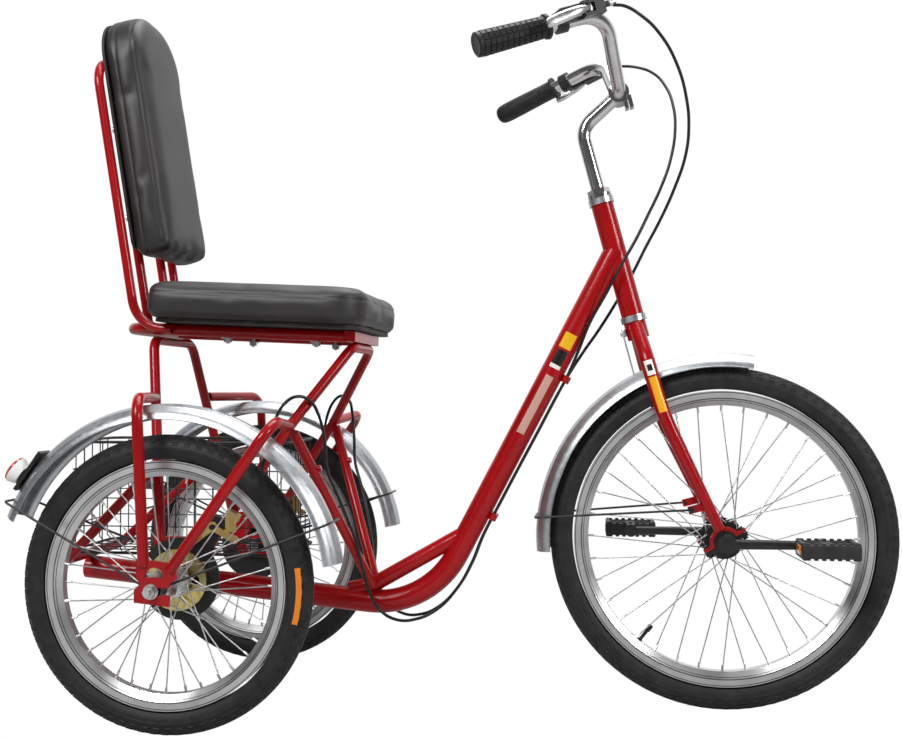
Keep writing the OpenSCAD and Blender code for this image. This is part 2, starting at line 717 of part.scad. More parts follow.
// The brake drum is screwed to the inner end of each rear hub and turns with it
module rear_hub(side) {
    color(STEEL) at_rear_wheel(side) {
        hub_shell(36, 14, rear_flange_r, rear_flange_y, axle_r + running_fit);
        difference() {
            translate([0, side > 0 ? -47 : 36, 0]) across(0, 11, drum_r);
            translate([0, side > 0 ? -49 : 40, 0]) across(0, 9, drum_r - 4);
            across(-60, 60, axle_r + 1);
            translate([drum_r * 0.62, 0, 0]) across(-60, 60, 7);
        }
    }
}
module rear_hub_right() { rear_hub(-1); }
module rear_hub_left() { rear_hub(1); }

module front_tyre() { color(BLACK) at_front_wheel() tyre(front_tyre_r); }
module front_rim() { color(CHROME) at_front_wheel() rim(front_tyre_r); }
front_flange_r = 30;
front_flange_y = 28;
module front_spokes() { color(STEEL) at_front_wheel() spokes(front_tyre_r, front_flange_r, front_flange_y); }
crank_y = fork_gap / 2 + 21;
crank_t = 13;
// The hub shell and the crank axle are one: the pedals drive the front wheel directly
module front_hub() {
    color(BLACK) at_front_wheel() {
        across(-fork_gap / 2 + 12, fork_gap / 2 - 12, 19);
        for (y = [-front_flange_y, front_flange_y]) translate([0, y, 0]) across(-1.5, 1.5, front_flange_r);
        across(-crank_y - crank_t / 2, crank_y + crank_t / 2, crank_axle_d / 2);
    }
}
module crank_arms() {
    color(BLACK) for (side = [-1, 1]) at_front_wheel() {
        translate([0, side * crank_y, 0]) difference() {
            union() {
                across(-crank_t / 2, crank_t / 2, 14.5);
                rod([0, 0, 0], [-side * crank_l, 0, 0], 8, 6.5);
                translate([-side * crank_l, 0, 0]) across(-6, 6, 10.5);
            }
            across(-20, 20, crank_axle_d / 2 + 0.02);
            translate([-side * crank_l, 0, 0]) across(-20, 20, 5.02);
        }
        translate([-side * crank_l, side * (crank_y - 6), 0]) across(side > 0 ? 0 : -pedal_w - 10,
            side > 0 ? pedal_w + 10 : 0, 5);
    }
}
// Platform pedal: a frame of two rails and three bars with a bored barrel
module pedal(side) {
    start = crank_y + crank_t / 2 + 2;
    color(BLACK) at_front_wheel() translate([-side * crank_l, side > 0 ? start : -start - pedal_w, 0])
        difference() {
            translate([-pedal_l / 2, 0, -13]) cube([pedal_l, pedal_w, 26]);
            for (x = [-pedal_l / 2 + 8, 11]) translate([x, 9, -14]) cube([pedal_l / 2 - 19, pedal_w - 18, 28]);
            across(-1, pedal_w + 1, 5 + running_fit);
        }
}
module pedal_right() { pedal(-1); }
module pedal_left() { pedal(1); }

// Fork: steerer, two curved blades, a half ring and two ears at each end for the hub bearings
clamp_turn = 30;
ring_r = 24;
bearing_r = 18;
crown_z = head_low - 12;
lug_z = 61;
blade_y = fork_gap / 2;
module half_rings(up) {
    at_front_wheel() rotate([0, -clamp_turn, 0]) for (side = [-1, 1]) translate([0, side * blade_y, 0])
        difference() {
            union() {
                across(-3, 3, ring_r);
                translate([-36, -3, up > 0 ? 0.5 : -6.5]) cube([72, 6, 6]);
            }
            across(-4, 4, bearing_r + seat_gap);
            for (x = [-30, 30]) translate([x, 0, -10]) cylinder(h = 20, r = 2.2);
            translate([-50, -10, up > 0 ? -99.5 : -0.5]) cube([100, 20, 100]);
        }
}
// One blade: out from the crown, down past the tyre, then forward to the hub, thinner as it goes
module fork_blade() {
    root = [0, 10, crown_z - 6];
    shoulder = [1, blade_y - 10, crown_z - 62];
    knee = [2, blade_y - 1, 215];
    tip = [rake - 3.6, blade_y, 20];
    upper = unit(knee - shoulder);
    lower = unit(tip - knee);
    shoulder_run = bend_run(root, shoulder, knee, 50);
    knee_run = bend_run(shoulder, knee, tip, 400);
    rod(root, shoulder - unit(shoulder - root) * (shoulder_run - lap), 12);
    elbow(root, shoulder, knee, 12 - thinner, 50);
    rod(shoulder + upper * (shoulder_run - lap), knee - upper * (knee_run - lap), 12, 11);
    elbow(shoulder, knee, tip, 11 - 2 * thinner, 400);
    rod(knee + lower * (knee_run - lap), tip, 11, 8.5);
}
lug_y = blade_y + 1.5;
module fork() {
    color(RED) {
        difference() {
            at_steering() {
                translate([0, 0, crown_z - 20]) cylinder(h = head_high + 26 - crown_z + 20, r = steerer_d / 2);
                translate([0, 0, crown_z - 26]) cylinder(h = 26 + 1.7, r = 17.5);
                mirrored() fork_blade();
                for (side = [-1, 1]) translate([16, side * blade_y, lug_z]) upright_plate(3) difference() {
                    translate([-16, -6]) square([26, 12]);
                    translate([-11, 0]) circle(2.6);
                }
            }
            at_steering() translate([0, 0, crown_z + 20]) cylinder(h = 400, r = bar_r + 0.05);
        }
        half_rings(1);
    }
}
// Lower half rings, the bearing housings that they hold, and the bolts through the ears
module hub_clamps() {
    color(BLACK) {
        half_rings(-1);
        for (side = [-1, 1]) at_front_wheel() translate([0, side * (blade_y + 1), 0]) difference() {
            across(-9, 9, bearing_r);
            across(-11, 11, crank_axle_d / 2 + running_fit);
        }
        at_front_wheel() rotate([0, -clamp_turn, 0]) for (side = [-1, 1], x = [-30, 30])
            translate([x, side * blade_y, 0]) {
                translate([0, 0, -9]) cylinder(h = 18, r = 2);
                translate([0, 0, 6.52]) cylinder(h = 3.5, r = 4);
                translate([0, 0, -10.02]) cylinder(h = 3.5, r = 4);
            }
    }
}
module headset_nut() {
    color(CHROME) at_steering() difference() {
        union() {
            translate([0, 0, head_high + 10 + seat_gap]) cylinder(h = 6, r = 19.5);
            translate([0, 0, head_high + 16]) cylinder(h = 9, r = 18, $fn = 6);
        }
        cylinder(h = 700, r = steerer_d / 2 + 0.02);
    }
}
module stem() {
    color(CHROME) at_steering() difference() {
        union() {
            pipe([[0, 0, head_low + 110], [0, 0, quill_top], clamp_at], bar_r, [36]);
            translate(clamp_at) across(-19, 19, 16.5);
            translate(clamp_at + [4, -10, -27]) cube([14, 20, 20]);
        }
        translate(clamp_at) across(-30, 30, bar_r + 0.02);
        translate(clamp_at + [10, -30, -40]) cube([1.6, 60, 32]);
    }
}
module handlebar() {
    color(CHROME)
        hollow_pipe([flip(bar_end), flip(bar_corner), flip(bar_inner), bar_inner, bar_corner, bar_end], bar_r, 2,
            [54, 26, 26, 54]);
}
module grips() {
    color(BLACK) for (side = [-1, 1]) at_grip(side) rotate([0, 90, 0]) difference() {
        union() {
            translate([0, 0, -5]) cylinder(h = grip_l, r = grip_d / 2);
            translate([0, 0, grip_l - 9]) cylinder(h = 5, r = grip_d / 2 + 3);
        }
        translate([0, 0, -0.3]) cylinder(h = grip_l, r = bar_r + 0.03);
    }
}
lever_pivot = [172, -30, 4];
module lever_brackets() {
    color(BLACK) for (side = [-1, 1]) at_grip(side) difference() {
        union() {
            translate([126, 0, 0]) rotate([0, 90, 0]) cylinder(h = 16, r = 15.5);
            translate([128, -26, -8.3]) cube([12, 26, 23.6]);
            for (z = [-8.3, 10.3]) {
                translate([128, -26, z]) cube([60, 8, 5]);
                translate([159, -38, z]) cube([30, 20, 5]);
            }
            translate([178, -38, -8.3]) cube([16, 16, 23.6]);
            translate([193, -30, 4]) rotate([0, 90, 0]) cylinder(h = 9, r = 5);
        }
        translate([100, 0, 0]) rotate([0, 90, 0]) cylinder(h = 70, r = bar_r + 0.03);
    }
}
module brake_lever(side) {
    color(CHROME) at_grip(side) {
        translate(lever_pivot + [0, 0, -6]) cylinder(h = 12, r = 5);
        pipe([lever_pivot, [150, -44, 2], [104, -42, -4]], 4.5, [14]);
        rod([108, -42.2, -3.5], [98, -41.7, -4.8], 5.5);
    }
}
module brake_lever_right() { brake_lever(-1); }
module brake_lever_left() { brake_lever(1); }

// Front mudguard with its crown tab, the screw in the tab, and the wire stay from both fork lugs
module front_fender() {
    over = front_guard_r + wire_r + seat_gap;
    half = guard_w / 2 + 4;
    eye_y = lug_y + seat_gap + wire_r;
    tab_x = -17.5 - seat_gap;
    color(STEEL) {
        at_front_wheel() guard(front_guard_r, 80, 185);
        difference() {
            at_steering() {
                translate([tab_x - 6, -10, crown_z - 90]) cube([2, 20, 86]);
                translate([tab_x - 5, -10, crown_z - 18]) cube([5, 20, 12]);
                translate([tab_x - 9, 0, crown_z - 12]) rotate([0, 90, 0]) cylinder(h = 4, r = 4);
            }
            at_front_wheel() across(-50, 50, front_guard_r - guard_t / 2);
        }
    }
    color(BLACK) at_front_wheel() {
        lug = steer_point([5, eye_y, lug_z]) - [wheelbase, 0, front_tyre_r];
        a = 174;
        pipe([flip(lug), spin(a, over) - [0, half, 0], spin(a, over) + [0, half, 0], lug], wire_r, [8, 8]);
    }
    color(BLACK) at_steering() for (side = [-1, 1]) translate([5, side * eye_y, lug_z]) {
        across(-wire_r, wire_r, 5);
        across(side > 0 ? -7 : -wire_r - 2, side > 0 ? wire_r + 2 : 7, 2.3);
    }
}

module place() { translate([-origin_x, 0, 0]) children(); }
place() main_tube();
place() head_tube();
place() brace_tube();
place() seat_struts();
place() front_seat_hoop();
place() rear_seat_hoop();
place() outer_stays();
place() outer_dropouts();
place() inner_dropouts();
place() carrier_tubes();
place() seat_rail();
place() seat_crossbars();
place() backrest_hoop();
place() backrest_inner_hoop();
place() seat_board();
place() seat_cushion();
place() backrest_board();
place() backrest_cushion();
place() seat_bolts();
place() headset_cups();
place() cable_guides();
place() cable_right();
place() cable_left();
place() rear_fender_right();
place() rear_fender_left();
place() rear_fender_stays();
place() lamp_bracket();
place() lamp_housing();
place() lamp_lens();
place() basket();
place() rear_axles();
place() axle_nuts();
place() brake_plates();
place() brake_arm_right();
place() brake_arm_left();
place() rear_tyre_right();
place() rear_tyre_left();
place() rear_rim_right();
place() rear_rim_left();
place() rear_spokes_right();
place() rear_spokes_left();
place() rear_hub_right();
place() rear_hub_left();
place() front_tyre();
place() front_rim();
place() front_spokes();
place() front_hub();
place() crank_arms();
place() pedal_right();
place() pedal_left();
place() fork();
place() hub_clamps();
place() headset_nut();
place() stem();
place() handlebar();
place() grips();
place() lever_brackets();
place() brake_lever_right();
place() brake_lever_left();
place() front_fender();
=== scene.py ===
from math import atan2, cos, exp, pi, radians, sin, sqrt

import bpy
from mathutils import Matrix, Vector


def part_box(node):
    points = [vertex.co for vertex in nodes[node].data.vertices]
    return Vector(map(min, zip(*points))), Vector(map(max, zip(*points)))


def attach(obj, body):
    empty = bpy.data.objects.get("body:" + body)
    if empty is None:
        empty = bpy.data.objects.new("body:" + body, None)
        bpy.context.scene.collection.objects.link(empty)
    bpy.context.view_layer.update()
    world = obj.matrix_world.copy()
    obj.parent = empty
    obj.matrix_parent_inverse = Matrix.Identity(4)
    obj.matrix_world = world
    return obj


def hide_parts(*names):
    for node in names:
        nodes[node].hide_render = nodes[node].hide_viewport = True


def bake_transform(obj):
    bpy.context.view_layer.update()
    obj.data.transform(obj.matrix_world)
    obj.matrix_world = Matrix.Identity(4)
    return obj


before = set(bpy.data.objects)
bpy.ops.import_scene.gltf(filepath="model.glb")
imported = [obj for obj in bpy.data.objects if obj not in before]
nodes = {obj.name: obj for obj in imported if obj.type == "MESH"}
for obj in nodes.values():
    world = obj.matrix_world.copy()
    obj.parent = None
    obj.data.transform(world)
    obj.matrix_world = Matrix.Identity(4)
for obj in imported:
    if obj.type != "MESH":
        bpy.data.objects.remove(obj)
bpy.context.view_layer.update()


# ---------------------------------------------------------------- Studio
# The tricycle stands on a white floor that throws little light, under three
# softboxes. The room is white beyond it and dark behind the camera, which
# looks at its right side, a little ahead of the middle.
camera = bpy.data.objects.new("camera", bpy.data.cameras.new("camera"))
bpy.context.scene.collection.objects.link(camera)
camera.location = (0.1999, -1.8435, 0.5038)
camera.rotation_euler = (radians(91.137), 0, radians(7.253))
camera.data.sensor_width = 36
camera.data.lens = 45.15
bpy.context.scene.camera = camera
bpy.context.scene.view_settings.view_transform = "Standard"


class Link:
    """A value on its way through a finish. Sums and products of links add Math nodes."""

    def __init__(self, finish, socket):
        self.finish, self.socket = finish, socket

    def math(self, operation, *values):
        return self.finish.node("ShaderNodeMath", {"operation": operation}, dict(enumerate(values)))

    def __add__(self, other):
        return self.math("ADD", self, other)

    __radd__ = __add__

    def __sub__(self, other):
        return self.math("SUBTRACT", self, other)

    def __rsub__(self, other):
        return self.math("SUBTRACT", other, self)

    def __mul__(self, other):
        return self.math("MULTIPLY", self, other)

    __rmul__ = __mul__

    def __truediv__(self, other):
        return self.math("DIVIDE", self, other)

    def __gt__(self, other):
        return self.math("GREATER_THAN", self, other)

    def __lt__(self, other):
        return self.math("LESS_THAN", self, other)

    def __abs__(self):
        return self.math("ABSOLUTE", self)


class Finish:
    """One finish: a shader, the constants on its sockets and the nodes that feed it."""

    def __init__(self, name, **constants):
        self.material = bpy.data.materials.new(name)
        self.material.use_nodes = True
        self.tree = self.material.node_tree
        self.shader = self.tree.nodes["Principled BSDF"]
        for socket, value in constants.items():
            self.feed(socket.replace("_", " "), value)

    def node(self, kind, settings=None, sockets=None, out=0):
        made = self.tree.nodes.new(kind)
        for key, value in (settings or {}).items():
            if key == "stops":
                for at, (place, colour) in enumerate(value):
                    stop = made.color_ramp.elements[at] if at < 2 else made.color_ramp.elements.new(place)
                    stop.position, stop.color = place, (*colour, 1)
            else:
                setattr(made, key, value)
        for key, value in (sockets or {}).items():
            self.plug(made.inputs[key], value)
        return Link(self, made.outputs[out])

    def plug(self, socket, value):
        if isinstance(value, Link):
            self.tree.links.new(value.socket, socket)
        else:
            socket.default_value = value

    def feed(self, socket, value):
        self.plug(self.shader.inputs[socket], value)

    def object_point(self, middle=(0, 0, 0)):
        return self.node("ShaderNodeMapping", {}, {
            "Vector": self.node("ShaderNodeTexCoord", {}, {}, 3),
            "Location": [-x for x in middle]})

    def bumps(self, height, depth, strength=1.0):
        self.feed("Normal", self.node("ShaderNodeBump", {}, {
            "Height": height, "Distance": depth, "Strength": strength}))


def only(piece):
    if bpy.context.mode != "OBJECT":
        bpy.ops.object.mode_set(mode="OBJECT")
    bpy.ops.object.select_all(action="DESELECT")
    piece.select_set(True)
    bpy.context.view_layer.objects.active = piece


bpy.ops.object.select_all(action="DESELECT")
bpy.ops.mesh.primitive_plane_add(size=60, location=(0, 8, 0))
floor = bpy.context.object
floor.name = "floor"
floor_paint = Finish("studio_floor", Roughness=0.9, Specular_IOR_Level=0.0, Emission_Strength=1.0)
seen = floor_paint.node("ShaderNodeLightPath", {}, {})
for socket, hidden_shade, seen_shade in (("Base Color", 0.42, 0.0), ("Emission Color", 0.10, 1.0)):
    floor_paint.feed(socket, floor_paint.node("ShaderNodeValToRGB", {"stops": [
        (0.0, (hidden_shade,) * 3), (1.0, (seen_shade,) * 3)]}, {"Fac": seen}))
floor.data.materials.append(floor_paint.material)

world = bpy.data.worlds.new("room")
bpy.context.scene.world = world
world.use_nodes = True
sky = world.node_tree.nodes["Background"]
ways = world.node_tree.nodes.new("ShaderNodeTexCoord")
facing = world.node_tree.nodes.new("ShaderNodeSeparateXYZ")
shade = world.node_tree.nodes.new("ShaderNodeValToRGB")
world.node_tree.links.new(ways.outputs["Generated"], facing.inputs[0])
world.node_tree.links.new(facing.outputs["Y"], shade.inputs["Fac"])
world.node_tree.links.new(shade.outputs["Color"], sky.inputs["Color"])
shade.color_ramp.elements[0].position, shade.color_ramp.elements[0].color = 0.12, (0.11, 0.11, 0.115, 1)
shade.color_ramp.elements[1].position, shade.color_ramp.elements[1].color = 0.55, (1, 1, 1, 1)
sky.inputs["Strength"].default_value = 1.0
for name, place, size, power, aim in [
        ("softbox_key", (-1.4, -2.6, 2.7), 1.3, 95, (0, 0, 0.5)),
        ("softbox_fill", (2.6, -1.6, 1.7), 0.9, 44, (-0.2, 0, 0.6)),
        ("softbox_top", (0.2, 0.4, 3.2), 2.2, 85, (0, 0, 0.2))]:
    box = bpy.data.objects.new(name, bpy.data.lights.new(name, "AREA"))
    bpy.context.scene.collection.objects.link(box)
    box.location = place
    box.data.size = size
    box.data.energy = power
    box.rotation_euler = (Vector(aim) - Vector(place)).to_track_quat("-Z", "Y").to_euler()


# ---------------------------------------------------------------- Painted frame
# All the frame tubes, plates and the fork are mild steel, welded together and
# sprayed deep red under a clear gloss coat, with small plain stickers.
def coat(finish, *names):
    for name in names:
        for spot in nodes[name].material_slots:
            spot.material = finish.material


def middle(name):
    low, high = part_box(name)
    return (low + high) / 2


def red_paint(name):
    paint = Finish(name, Roughness=0.3, Coat_Weight=0.3, Coat_Roughness=0.04, Specular_IOR_Level=0.15)
    point = paint.object_point()
    cloud = paint.node("ShaderNodeTexNoise", {}, {"Vector": point, "Scale": 9.0, "Detail": 2.0})
    peel = paint.node("ShaderNodeTexNoise", {}, {"Vector": point, "Scale": 700.0, "Detail": 1.0})
    deep_red, light_red = (0.27, 0.0014, 0.0030), (0.36, 0.0022, 0.0045)
    colour = paint.node("ShaderNodeValToRGB", {"stops": [(0.3, deep_red), (0.7, light_red)]}, {"Fac": cloud})
    paint.feed("Roughness", 0.26 + cloud * 0.1)
    paint.bumps(peel, 0.00006, 0.4)
    return paint, point, colour


paint, point, colour = red_paint("red_enamel")
paint.feed("Base Color", colour)
coat(paint, "head_tube", "brace_tube", "seat_struts", "front_seat_hoop", "rear_seat_hoop", "outer_stays",
     "outer_dropouts", "inner_dropouts", "carrier_tubes", "seat_rail", "seat_crossbars", "backrest_hoop",
     "backrest_inner_hoop", "cable_guides")

front = middle("front_tyre")
axle_x = middle("rear_tyre_right").x
tilt = radians(15)


def steer(x, y, z):
    """A point given along the steering axis, in metres, as a point on the tricycle."""
    return front + Vector(((x - 0.042) * cos(tilt) - z * sin(tilt), y, (x - 0.042) * sin(tilt) + z * cos(tilt)))


def sticker(paint, point, colour, root, tip, blocks):
    """Lays plain blocks of colour along a line on both sides of a tube; each block is
    (start, end, half height, colour), in metres from the root."""
    along = (tip - root).normalized()
    offset = paint.node("ShaderNodeVectorMath", {"operation": "SUBTRACT"}, {0: point, 1: root})
    run = paint.node("ShaderNodeVectorMath", {"operation": "DOT_PRODUCT"}, {0: offset, 1: along}, 1)
    rise = paint.node("ShaderNodeVectorMath", {"operation": "DOT_PRODUCT"},
                      {0: offset, 1: Vector((-along.z, 0, along.x))}, 1)
    for start, end, half, shade in blocks:
        inside = (run > start) * (run < end) * (abs(rise) < half)
        colour = paint.node("ShaderNodeMix", {"data_type": "RGBA"}, {0: inside, 6: colour, 7: (*shade, 1)}, 2)
    return colour


main_top = steer(0, 0, 0.485)
main_corner = Vector((axle_x + 0.353, 0, 0.149))
paint, point, colour = red_paint("red_enamel_main_tube")
colour = sticker(paint, point, colour, main_top, main_corner, [
    (0.150, 0.176, 0.010, (0.75, 0.42, 0.01)), (0.180, 0.205, 0.009, (0.012, 0.012, 0.012)),
    (0.2055, 0.212, 0.009, (0.75, 0.75, 0.72)), (0.226, 0.330, 0.0065, (0.52, 0.31, 0.26))])
paint.feed("Base Color", colour)
coat(paint, "main_tube")

paint, point, colour = red_paint("red_enamel_fork")
colour = sticker(paint, point, colour, steer(0.0, 0, 0.33), steer(0.004, 0, 0.20), [
    (0.028, 0.052, 0.0065, (0.78, 0.78, 0.76)), (0.035, 0.045, 0.004, (0.02, 0.02, 0.02)),
    (0.055, 0.112, 0.0065, (0.85, 0.36, 0.01))])
paint.feed("Base Color", colour)
coat(paint, "fork")


# ---------------------------------------------------------------- Plated fittings
# Nuts, axles, bolts and bearing cups are zinc plated; the stem, handlebar and
# locknut are polished chrome over steel tube.
def zinc(name, shade=0.56):
    paint = Finish(name, Metallic=1.0, Roughness=0.32)
    point = paint.object_point()
    bloom = paint.node("ShaderNodeTexNoise", {}, {"Vector": point, "Scale": 60.0, "Detail": 4.0})
    fine = paint.node("ShaderNodeTexNoise", {}, {"Vector": point, "Scale": 900.0, "Detail": 2.0})
    paint.feed("Base Color", paint.node("ShaderNodeValToRGB", {"stops": [
        (0.3, (shade * 0.85, shade * 0.86, shade * 0.87)), (0.7, (shade * 1.15, shade * 1.16, shade * 1.17))]},
        {"Fac": bloom}))
    paint.feed("Roughness", 0.24 + bloom * 0.2)
    paint.bumps(fine, 0.00008, 0.5)
    return paint


coat(zinc("zinc_plate"), "rear_axles", "axle_nuts", "headset_cups", "seat_bolts")

chrome = Finish("chrome_plate", Metallic=1.0)
point = chrome.object_point()
haze = chrome.node("ShaderNodeTexNoise", {}, {"Vector": point, "Scale": 35.0, "Detail": 3.0})
chrome.feed("Base Color", chrome.node("ShaderNodeValToRGB", {"stops": [
    (0.2, (0.52, 0.515, 0.515)), (0.8, (0.66, 0.65, 0.65))]}, {"Fac": haze}))
chrome.feed("Roughness", 0.1 + haze * 0.1)
coat(chrome, "stem", "handlebar", "headset_nut")


# ---------------------------------------------------------------- Rims, spokes and hubs
# Each wheel has a silver alloy rim with two dark machined lines, thirty-six
# steel spokes with nipples, and a hub; the rear hubs carry gold passivated drums.
def rim_finish(name, hub, edge):
    paint = Finish(name, Metallic=1.0, Roughness=0.3)
    point = paint.object_point(hub)
    sides = paint.node("ShaderNodeSeparateXYZ", {}, {0: point})
    across_x, across_z = sides, Link(paint, sides.socket.node.outputs[2])
    radius = paint.node("ShaderNodeVectorMath", {"operation": "LENGTH"}, {
        0: paint.node("ShaderNodeCombineXYZ", {}, {0: across_x, 2: across_z})}, 1)
    depth = edge - radius
    lines = (abs(depth - 0.0022) < 0.0007) + (abs(depth - 0.0118) < 0.0009) + (abs(depth - 0.0150) < 0.0005)
    fine = paint.node("ShaderNodeTexNoise", {}, {"Vector": point, "Scale": 500.0, "Detail": 2.0})
    smear = paint.node("ShaderNodeTexNoise", {}, {"Vector": point, "Scale": 25.0, "Detail": 3.0})
    bright = paint.node("ShaderNodeValToRGB", {"stops": [
        (0.25, (0.50, 0.50, 0.51)), (0.75, (0.68, 0.68, 0.68))]}, {"Fac": smear})
    paint.feed("Base Color", paint.node("ShaderNodeMix", {"data_type": "RGBA"}, {
        0: lines * 0.85, 6: bright, 7: (0.03, 0.03, 0.03, 1)}, 2))
    paint.feed("Roughness", 0.24 + smear * 0.16)
    paint.bumps(fine + radius * 600.0, 0.00005, 0.4)
    return paint


spoke_steel = zinc("spoke_steel", 0.50)
for name in ("front", "rear_right", "rear_left"):
    half = name.partition("_")
    tyre_node = "front_tyre" if name == "front" else f"rear_tyre_{half[2]}"
    rim_node = "front_rim" if name == "front" else f"rear_rim_{half[2]}"
    low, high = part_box(rim_node)
    coat(rim_finish(f"alloy_rim_{name}", middle(tyre_node), (high.z - low.z) / 2), rim_node)
coat(spoke_steel, "front_spokes", "rear_spokes_right", "rear_spokes_left")

gold_stops = [(0.25, (0.56, 0.40, 0.13)), (0.5, (0.72, 0.56, 0.22)), (0.75, (0.52, 0.50, 0.25))]
hub_paint = Finish("hub_and_drum", Metallic=1.0, Roughness=0.25)
point = hub_paint.object_point()
bloom = hub_paint.node("ShaderNodeTexNoise", {}, {
    "Vector": point, "Scale": 22.0, "Detail": 3.0, "Distortion": 0.6})
gold = hub_paint.node("ShaderNodeValToRGB", {"stops": gold_stops}, {"Fac": bloom})
side = hub_paint.node("ShaderNodeSeparateXYZ", {}, {0: point}, 1)
hub_paint.feed("Base Color", hub_paint.node("ShaderNodeMix", {"data_type": "RGBA"}, {
    0: abs(side) < 0.2045, 6: (0.66, 0.66, 0.66, 1), 7: gold}, 2))
hub_paint.feed("Roughness", 0.16 + bloom * 0.2)
coat(hub_paint, "rear_hub_right", "rear_hub_left")


def black_enamel(name, shade=0.012, rough=0.32):
    paint = Finish(name, Roughness=rough, Specular_IOR_Level=0.32)
    point = paint.object_point()
    wear = paint.node("ShaderNodeTexNoise", {}, {"Vector": point, "Scale": 70.0, "Detail": 4.0})
    fine = paint.node("ShaderNodeTexNoise", {}, {"Vector": point, "Scale": 1200.0, "Detail": 2.0})
    paint.feed("Base Color", paint.node("ShaderNodeValToRGB", {"stops": [
        (0.3, (shade, shade, shade * 1.05)), (0.8, (shade * 1.9, shade * 1.85, shade * 1.9))]}, {"Fac": wear}))
    paint.feed("Roughness", rough - 0.06 + wear * 0.14)
    paint.bumps(fine, 0.00009, 0.5)
    return paint


black = black_enamel("black_enamel")
coat(black, "front_hub", "crank_arms", "hub_clamps", "rear_fender_stays", "lamp_bracket", "lever_brackets")


# ---------------------------------------------------------------- Tyres
# A tyre is black rubber, moulded with a centre rib, staggered tread blocks and
# shoulder knobs. The rear ones carry a short orange reflective strip on the wall.
def pick(piece, wanted):
    """Leaves edit mode open with just the faces selected that pass, by centre and normal."""
    bpy.ops.object.mode_set(mode="EDIT")
    bpy.ops.mesh.select_mode(type="FACE")
    bpy.ops.mesh.select_all(action="DESELECT")
    bpy.ops.object.mode_set(mode="OBJECT")
    for face in piece.data.polygons:
        face.select = wanted(face.center, face.normal)
    bpy.ops.object.mode_set(mode="EDIT")


def swept(name, profile, steps, angle, closed=False):
    """Spins a profile of (radius, side) points about the Y axis, from +X towards +Z."""
    bpy.ops.object.select_all(action="DESELECT")
    bpy.ops.mesh.primitive_circle_add(vertices=len(profile), radius=0.1)
    piece = bpy.context.object
    piece.name = piece.data.name = name
    for corner, (radius, side) in zip(piece.data.vertices, profile):
        corner.co = (radius, side, 0)
    bpy.ops.object.mode_set(mode="EDIT")
    if not closed:
        bpy.ops.mesh.select_mode(type="EDGE")
        bpy.ops.mesh.select_all(action="DESELECT")
        bpy.ops.object.mode_set(mode="OBJECT")
        for edge in piece.data.edges:
            edge.select = set(edge.vertices) == {0, len(profile) - 1}
        bpy.ops.object.mode_set(mode="EDIT")
        bpy.ops.mesh.delete(type="EDGE")
    bpy.ops.mesh.select_all(action="SELECT")
    bpy.ops.mesh.spin(steps=steps, angle=angle, center=(0, 0, 0), axis=(0, 1, 0))
    bpy.ops.mesh.select_all(action="SELECT")
    bpy.ops.mesh.remove_doubles(threshold=0.00002)
    bpy.ops.mesh.normals_make_consistent(inside=False)
    bpy.ops.object.mode_set(mode="OBJECT")
    return piece


def settle(piece, matrix, smooth=35):
    """Puts a finished piece in its place by moving its mesh, and smooths its shading."""
    piece.data.transform(piece.matrix_world)
    piece.matrix_world = Matrix.Identity(4)
    piece.data.transform(matrix)
    if matrix.determinant() < 0:
        piece.data.flip_normals()
    only(piece)
    bpy.ops.object.shade_smooth_by_angle(angle=radians(smooth))
    return piece


def thicken(piece, amount, offset=-1):
    only(piece)
    sheet = piece.modifiers.new("sheet", "SOLIDIFY")
    sheet.thickness, sheet.offset, sheet.use_even_offset = amount, offset, True
    bpy.ops.object.modifier_apply(modifier="sheet")


def tyre_rubber(name, hub, strip):
    paint = Finish(name, Roughness=0.55, Specular_IOR_Level=0.3)
    point = paint.object_point(hub)
    dust = paint.node("ShaderNodeTexNoise", {}, {"Vector": point, "Scale": 45.0, "Detail": 5.0})
    fine = paint.node("ShaderNodeTexNoise", {}, {"Vector": point, "Scale": 900.0, "Detail": 2.0})
    colour = paint.node("ShaderNodeValToRGB", {"stops": [
        (0.3, (0.008, 0.008, 0.009)), (0.75, (0.022, 0.021, 0.021))]}, {"Fac": dust})
    if strip:
        x = paint.node("ShaderNodeSeparateXYZ", {}, {0: point})
        y, z = (Link(paint, x.socket.node.outputs[at]) for at in (1, 2))
        radius = paint.node("ShaderNodeVectorMath", {"operation": "LENGTH"}, {
            0: paint.node("ShaderNodeCombineXYZ", {}, {0: x, 2: z})}, 1)
        turn = x.math("ARCTAN2", z, x)
        mark = (abs(radius - strip) < 0.0040) * (abs(turn + 0.05) < 0.20) * (abs(y) > 0.012)
        colour = paint.node("ShaderNodeMix", {"data_type": "RGBA"}, {
            0: mark, 6: colour, 7: (0.72, 0.20, 0.015, 1)}, 2)
    paint.feed("Base Color", colour)
    paint.feed("Roughness", 0.46 + dust * 0.2)
    paint.bumps(fine, 0.00015, 0.5)
    return paint


